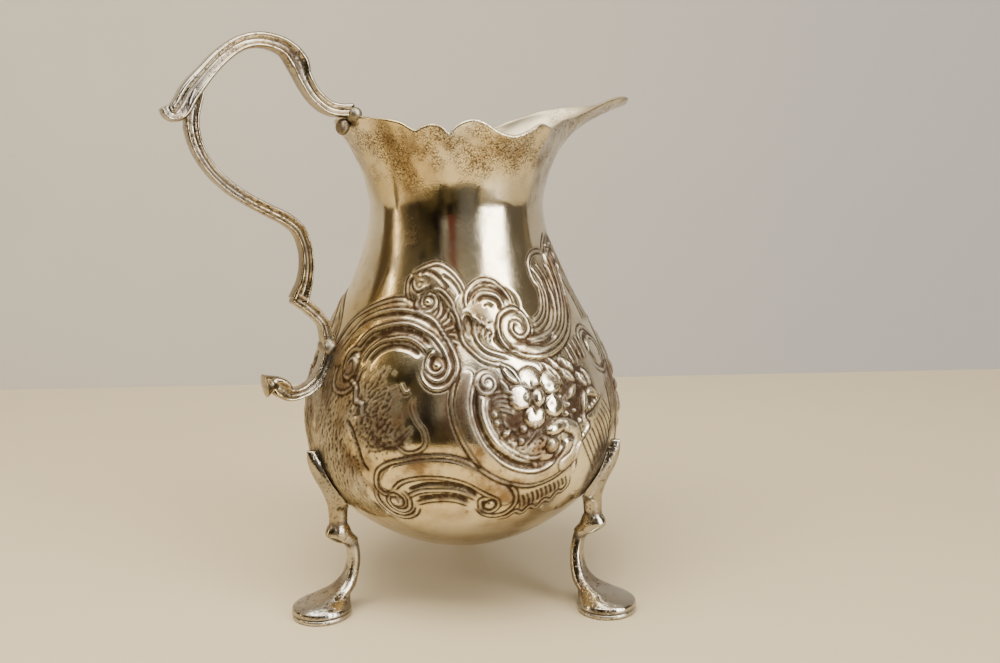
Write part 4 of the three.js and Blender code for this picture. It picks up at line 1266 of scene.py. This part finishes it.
def silverFinish(name, settings):
    material = bpy.data.materials.new(name)
    material.use_nodes = True
    n = Nodes(material.node_tree)
    where = n.add("TexCoord").outputs["Object"]
    split = n.add("SeparateXYZ", Vector=where)
    reach, height = n.value(split, 0) / mm, n.value(split, 2) / mm
    hollowness, raised, chasing = n.field("hollow"), n.field("proud"), n.field("chased")
    stainAndReflectionMask, inner = n.field("stain"), n.field("inside")
    cloud, blotch = n.noise(where, *noises["cloud"]), n.noise(where, *noises["blotch"])
    mottle, grain = n.noise(where, *noises["mottle"]), n.noise(where, *noises["grain"])

    # yellow film and brown, more of both towards the handle, and a cool grey away from it
    towardsHandle = n.spread(reach, *ranges["handle"])
    film = n.spread(cloud, *ranges["film"]) * towardsHandle
    tint = n.mix(film, settings["silver"], settings["film"])
    patches = blotch * layering["blotch"] + mottle * layering["mottle"] + chasing * layering["chasing"]
    brown = n.spread(patches, *ranges["brown"])
    brown = brown * (settings["brownShare"] + chasing * layering["brownOnChasing"])
    tint = n.mix(brown, tint, settings["brown"])
    cool = n.spread(n.noise(where, *noises["cool"]), *ranges["cool"])
    grey = cool * (1 - towardsHandle * layering["greyLost"]) * settings["greyShare"]
    tint = n.mix(grey, tint, settings["grey"])

    # drawn stains with a painted dark reflection among them, and specks that gather near the rim
    stain = (stainAndReflectionMask * n.spread(mottle, *ranges["stain"])).under(1.0)
    tint = n.mix(stain * layering["stain"], tint, settings["stain"])
    if settings.get("rimSpecks"):
        fine = n.noise(where, *noises["fine"])
        specks = n.spread(fine, *ranges["fine"]) * n.spread(blotch, *ranges["finePatch"])
        specks = specks * n.spread(height, *ranges["rim"])
    else:
        speck = n.noise(where, *noises["speck"])
        specks = n.spread(speck, *ranges["speck"]) * n.spread(blotch, *ranges["speckPatch"])
        specks = specks * settings["speckShare"]
    tint = n.mix(specks * layering["specks"], tint, settings["speck"])

    # dark in the recesses, rubbed bright on the ridges, dull inside
    recess = (hollowness * n.spread(grain, *ranges["recess"])).under(1.0)
    tint = n.mix(recess * settings["recessShare"], tint, settings["recess"])
    tint = n.mix(raised * settings["brightShare"], tint, settings["bright"])
    tint = n.mix(inner * layering["inside"], tint, settings["inside"])

    layers = dict(
        inner=inner, film=film, brown=brown, chasing=chasing,
        recess=recess, specks=specks, stain=stain, grain=grain,
    )
    rough = settings["rough"] + sum(layers[key] * share for key, share in roughening.items())
    drawn = n.add("Mapping", None, Vector=where, Scale=surface["scratchScale"])
    scratches = n.noise(drawn.outputs[0], 1.0, 2)
    wobble = mottle * settings["wobble"] + grain * surface["grain"] + scratches * surface["scratches"]
    wobble = wobble - specks * surface["pits"]
    bump = n.add(
        "Bump", None, Strength=settings["bumpStrength"], Distance=surface["bumpDepth"], Height=wobble,
    )
    n.end("OutputMaterial", n.add(
        "BsdfPrincipled",
        None,
        BaseColor=tint,
        Metallic=1.0 - recess * layering["metalLost"],
        SpecularIORLevel=surface["specular"],
        Roughness=rough.under(surface["roughMost"]),
        Normal=bump.outputs[0],
    ))
    return material


tarnish = dict(
    brown=(0.19, 0.105, 0.04),
    grey=(0.42, 0.42, 0.41),
    stain=(0.20, 0.12, 0.05),
    speck=(0.06, 0.035, 0.02),
    recess=(0.03, 0.014, 0.006),
    bright=(0.93, 0.88, 0.74),
    inside=(0.52, 0.44, 0.29),
    recessShare=0.96,
    brightShare=0.12,
    speckShare=0.8,
    wobble=0.8,
)
cast = dict(tarnish, brownShare=0.85, greyShare=0.7)
finishes = dict(
    body_silver=dict(
        tarnish, silver=(0.86, 0.775, 0.57), film=(0.62, 0.48, 0.225), brownShare=0.5, greyShare=0.4,
        rough=0.07, bumpStrength=0.3, rimSpecks=True,
    ),
    cast_silver=dict(
        cast, silver=(0.47, 0.43, 0.35), film=(0.31, 0.25, 0.155), rough=0.1, bumpStrength=0.6,
    ),
    sole_silver=dict(
        cast, silver=(0.52, 0.48, 0.39), film=(0.36, 0.31, 0.21), rough=0.24, bumpStrength=0.8,
    ),
    solder=dict(
        tarnish, silver=(0.33, 0.29, 0.22), film=(0.22, 0.17, 0.1), brownShare=0.8, greyShare=0.5,
        rough=0.4, bumpStrength=1.0,
    ),
)
made = {slot: silverFinish(slot + "_finish", settings) for slot, settings in finishes.items()}
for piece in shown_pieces():
    slot = piece.get("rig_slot")
    if slot in made:
        piece.data.materials.clear()
        piece.data.materials.append(made[slot])
print("finishes made")


# table, wall, light and camera
viewTurn = math.radians(30)
viewWay = np.array([math.sin(viewTurn), math.cos(viewTurn)])  # the camera's way over the table
sideWay = np.array([viewWay[1], -viewWay[0]])


# the last range is where the wall's painted shade comes in, across the view
plain = dict(deeper=0.97, clouds=(6, 3), cloudsOver=(0.3, 0.7), fadesOver=(-0.45, 0.55))


def plainMaterial(name, colour, rough, shadedRight=None):
    # the colour given last is what it turns to on the right, a painted shade: darker and greyer away from the
    # light on the left
    material = bpy.data.materials.new(name)
    material.use_nodes = True
    n = Nodes(material.node_tree)
    where = n.add("TexCoord").outputs["Object"]
    deeper = tuple(c * plain["deeper"] for c in colour)
    tint = n.mix(n.spread(n.noise(where, *plain["clouds"]), *plain["cloudsOver"]), colour, deeper)
    if shadedRight:
        # painted shade: the colour turns darker towards the right
        split = n.add("SeparateXYZ", Vector=where)
        across = n.value(split, 0) * float(sideWay[0]) + n.value(split, 1) * float(sideWay[1])
        tint = n.mix(n.spread(across, *plain["fadesOver"]), tint, shadedRight)
    n.end("OutputMaterial", n.add("BsdfPrincipled", None, BaseColor=tint, Roughness=rough))
    return material


room = dict(
    # distances along the camera's way, half widths, heights
    tableBack=190,
    tableEdge=-150,
    tableFront=-900,
    tableWide=1300,
    tableThick=20,
    wallAway=900,
    wallThick=20,
    wallWide=3000,
    wallLow=-1200,
    wallHigh=2200,
    lampAim=50,
    tableColour=(0.34, 0.278, 0.172),
    tableRough=0.5,
    wallColour=(0.515, 0.443, 0.332),
    # painted shade: the wall turns to this colour on the right, away from the light on the left
    wallFaded=(0.385, 0.352, 0.31),
    wallRough=0.9,
)


def slab(name, near, far, wide, low, high, material):
    # a box laid square to the camera's way; near and far are along it
    corners = []
    for z in (low, high):
        for a, b in ((near, -wide), (near, wide), (far, wide), (far, -wide)):
            spot = viewWay * a + sideWay * b
            corners.append((spot[0], spot[1], z))
    faces = [(0, 1, 2, 3), (4, 7, 6, 5), (0, 4, 5, 1), (1, 5, 6, 2), (2, 6, 7, 3), (3, 7, 4, 0)]
    piece = makeMesh(name, corners, faces)
    for polygon in piece.data.polygons:
        polygon.use_smooth = False
    piece.data.materials.append(material)
    return piece


tableFinish = plainMaterial("table_cream", room["tableColour"], room["tableRough"])
tableSize = room["tableWide"], -room["tableThick"], 0, tableFinish
slab("table_top", room["tableEdge"], room["tableBack"], *tableSize)
# the table runs on past the viewer; the dim room shows in the silver instead
slab("table_run_on", room["tableFront"], room["tableEdge"], *tableSize).visible_glossy = False
wallFinish = plainMaterial("wall_pale", room["wallColour"], room["wallRough"], shadedRight=room["wallFaded"])
wallSize = room["wallWide"], room["wallLow"], room["wallHigh"], wallFinish
slab("back_wall", room["wallAway"], room["wallAway"] + room["wallThick"], *wallSize)

world = bpy.data.worlds.new("room_light")
bpy.context.scene.world = world
world.use_nodes = True
n = Nodes(world.node_tree)
skyward = n.add("TexCoord").outputs["Generated"]
split = n.add("SeparateXYZ", Vector=skyward)
east, north, up = (n.value(split, k) for k in range(3))
ahead = east * float(viewWay[0]) + north * float(viewWay[1])  # towards the wall
right = east * float(sideWay[0]) + north * float(sideWay[1])
bearing = right.join("ARCTAN2", right, ahead * -1)  # 0 behind the camera, positive to its right


def sector(low, high, soft=0.05):
    # 1 between two directions round the jug, in radians from behind the camera
    return n.spread(bearing, low - soft, low + soft) * (1 - n.spread(bearing, high - soft, high + soft))


# a dim room lies behind the camera, with folds of cloth in it, and pale walls round it
drapes = n.noise(n.add("Mapping", None, Vector=skyward, Scale=(9, 9, 2)).outputs[0], 1.0, 4)
gloom = n.mix(n.spread(drapes, 0.42, 0.64), (0.012, 0.008, 0.006), (0.13, 0.1, 0.045))
wallLight = n.mix(n.spread(up, -0.2, 0.7), (0.46, 0.38, 0.26), (0.80, 0.69, 0.50))
shade = n.mix(sector(-1.2, 0.56, 0.07), wallLight, gloom)
for low, high, soft, share, rise, colour in [
    # sector, softness of its edges, share, height over which it comes in, colour
    (-0.3, 0.66, 0.08, 1, (0.1, 0.24), (0.34, 0.31, 0.26)),
    (-0.16, 0.02, 0.03, 1, (0.06, 0.16), (0.16, 0.035, 0.02)),
    (-2.0, -1.56, 0.08, 1, None, (0.09, 0.06, 0.045)),
    (-2.05, -1.2, 0.03, 0.85, None, (0.12, 0.08, 0.04)),
    (-1.45, -1.37, 0.012, 1, None, (9, 7.2, 4.6)),
    (0.1, 0.5, 0.08, 0.7, None, (0.22, 0.21, 0.2)),
    (1.12, 1.75, 0.1, 1, None, (0.15, 0.125, 0.095)),
    (1.75, 2.4, 0.16, 1, None, (0.09, 0.06, 0.035)),
]:
    amount = sector(low, high, soft) * share
    shade = n.mix(amount * n.spread(up, *rise) if rise else amount, shade, colour)
shade = n.mix(n.spread(up, 0.55, 0.9), shade, (0.85, 0.78, 0.66))  # ceiling
window = sector(0.62, 1.12, 0.03) * n.spread(up, -0.1, 0.0) * (1 - n.spread(up, 0.84, 0.9))
shade = n.mix(window, shade, (13, 13, 13.2))
seen = n.value(n.add("LightPath"), 0)  # 1 where the camera looks past the wall
n.end("OutputWorld", n.add("Background", None, Color=n.mix(seen, shade, (0.5, 0.455, 0.385)), Strength=1.0))


def areaLight(name, place, size, power, colour, reflected):
    # place is (towards the wall, to the right, up) in millimetres
    lamp = bpy.data.lights.new(name, "AREA")
    lamp.shape = "RECTANGLE"
    lamp.size, lamp.size_y = size[0] * mm, size[1] * mm
    lamp.energy = power
    lamp.color = colour
    holder = bpy.data.objects.new(name, lamp)
    spot = viewWay * place[0] + sideWay * place[1]
    holder.location = Vector((spot[0], spot[1], place[2])) * mm
    holder.visible_glossy = reflected
    aim = Vector((0, 0, room["lampAim"] * mm)) - holder.location
    holder.rotation_euler = aim.to_track_quat("-Z", "Y").to_euler()
    bpy.context.scene.collection.objects.link(holder)


for lamp in [
    # name, place, size, power, colour, whether the silver mirrors it
    ("overhead_soft", (-260, -120, 800), (800, 600), 10, (1, 0.97, 0.92), True),
    ("left_soft", (-350, -700, 500), (500, 600), 5, (1, 0.93, 0.82), False),
    ("front_soft", (-140, -30, 320), (240, 160), 2.4, (1, 0.95, 0.86), False),
]:
    areaLight(*lamp)

camera = dict(place=(-83.7, -170.9, 80), pitch=9.28, roll=1.2, lens=37.8, sensor=36, clip=(0.01, 20))
data = bpy.data.cameras.new("view")
data.lens = camera["lens"]
data.sensor_width = camera["sensor"]
data.clip_start, data.clip_end = camera["clip"]
eye = bpy.data.objects.new("view", data)
eye.location = Vector(camera["place"]) * mm
pitch = math.radians(camera["pitch"])
look = Vector((viewWay[0] * math.cos(pitch), viewWay[1] * math.cos(pitch), -math.sin(pitch)))
eye.rotation_mode = "QUATERNION"
eye.rotation_quaternion = look.to_track_quat("-Z", "Y") @ Quaternion((0, 0, 1), -math.radians(camera["roll"]))
bpy.context.scene.collection.objects.link(eye)
bpy.context.scene.camera = eye

print("scene ready")
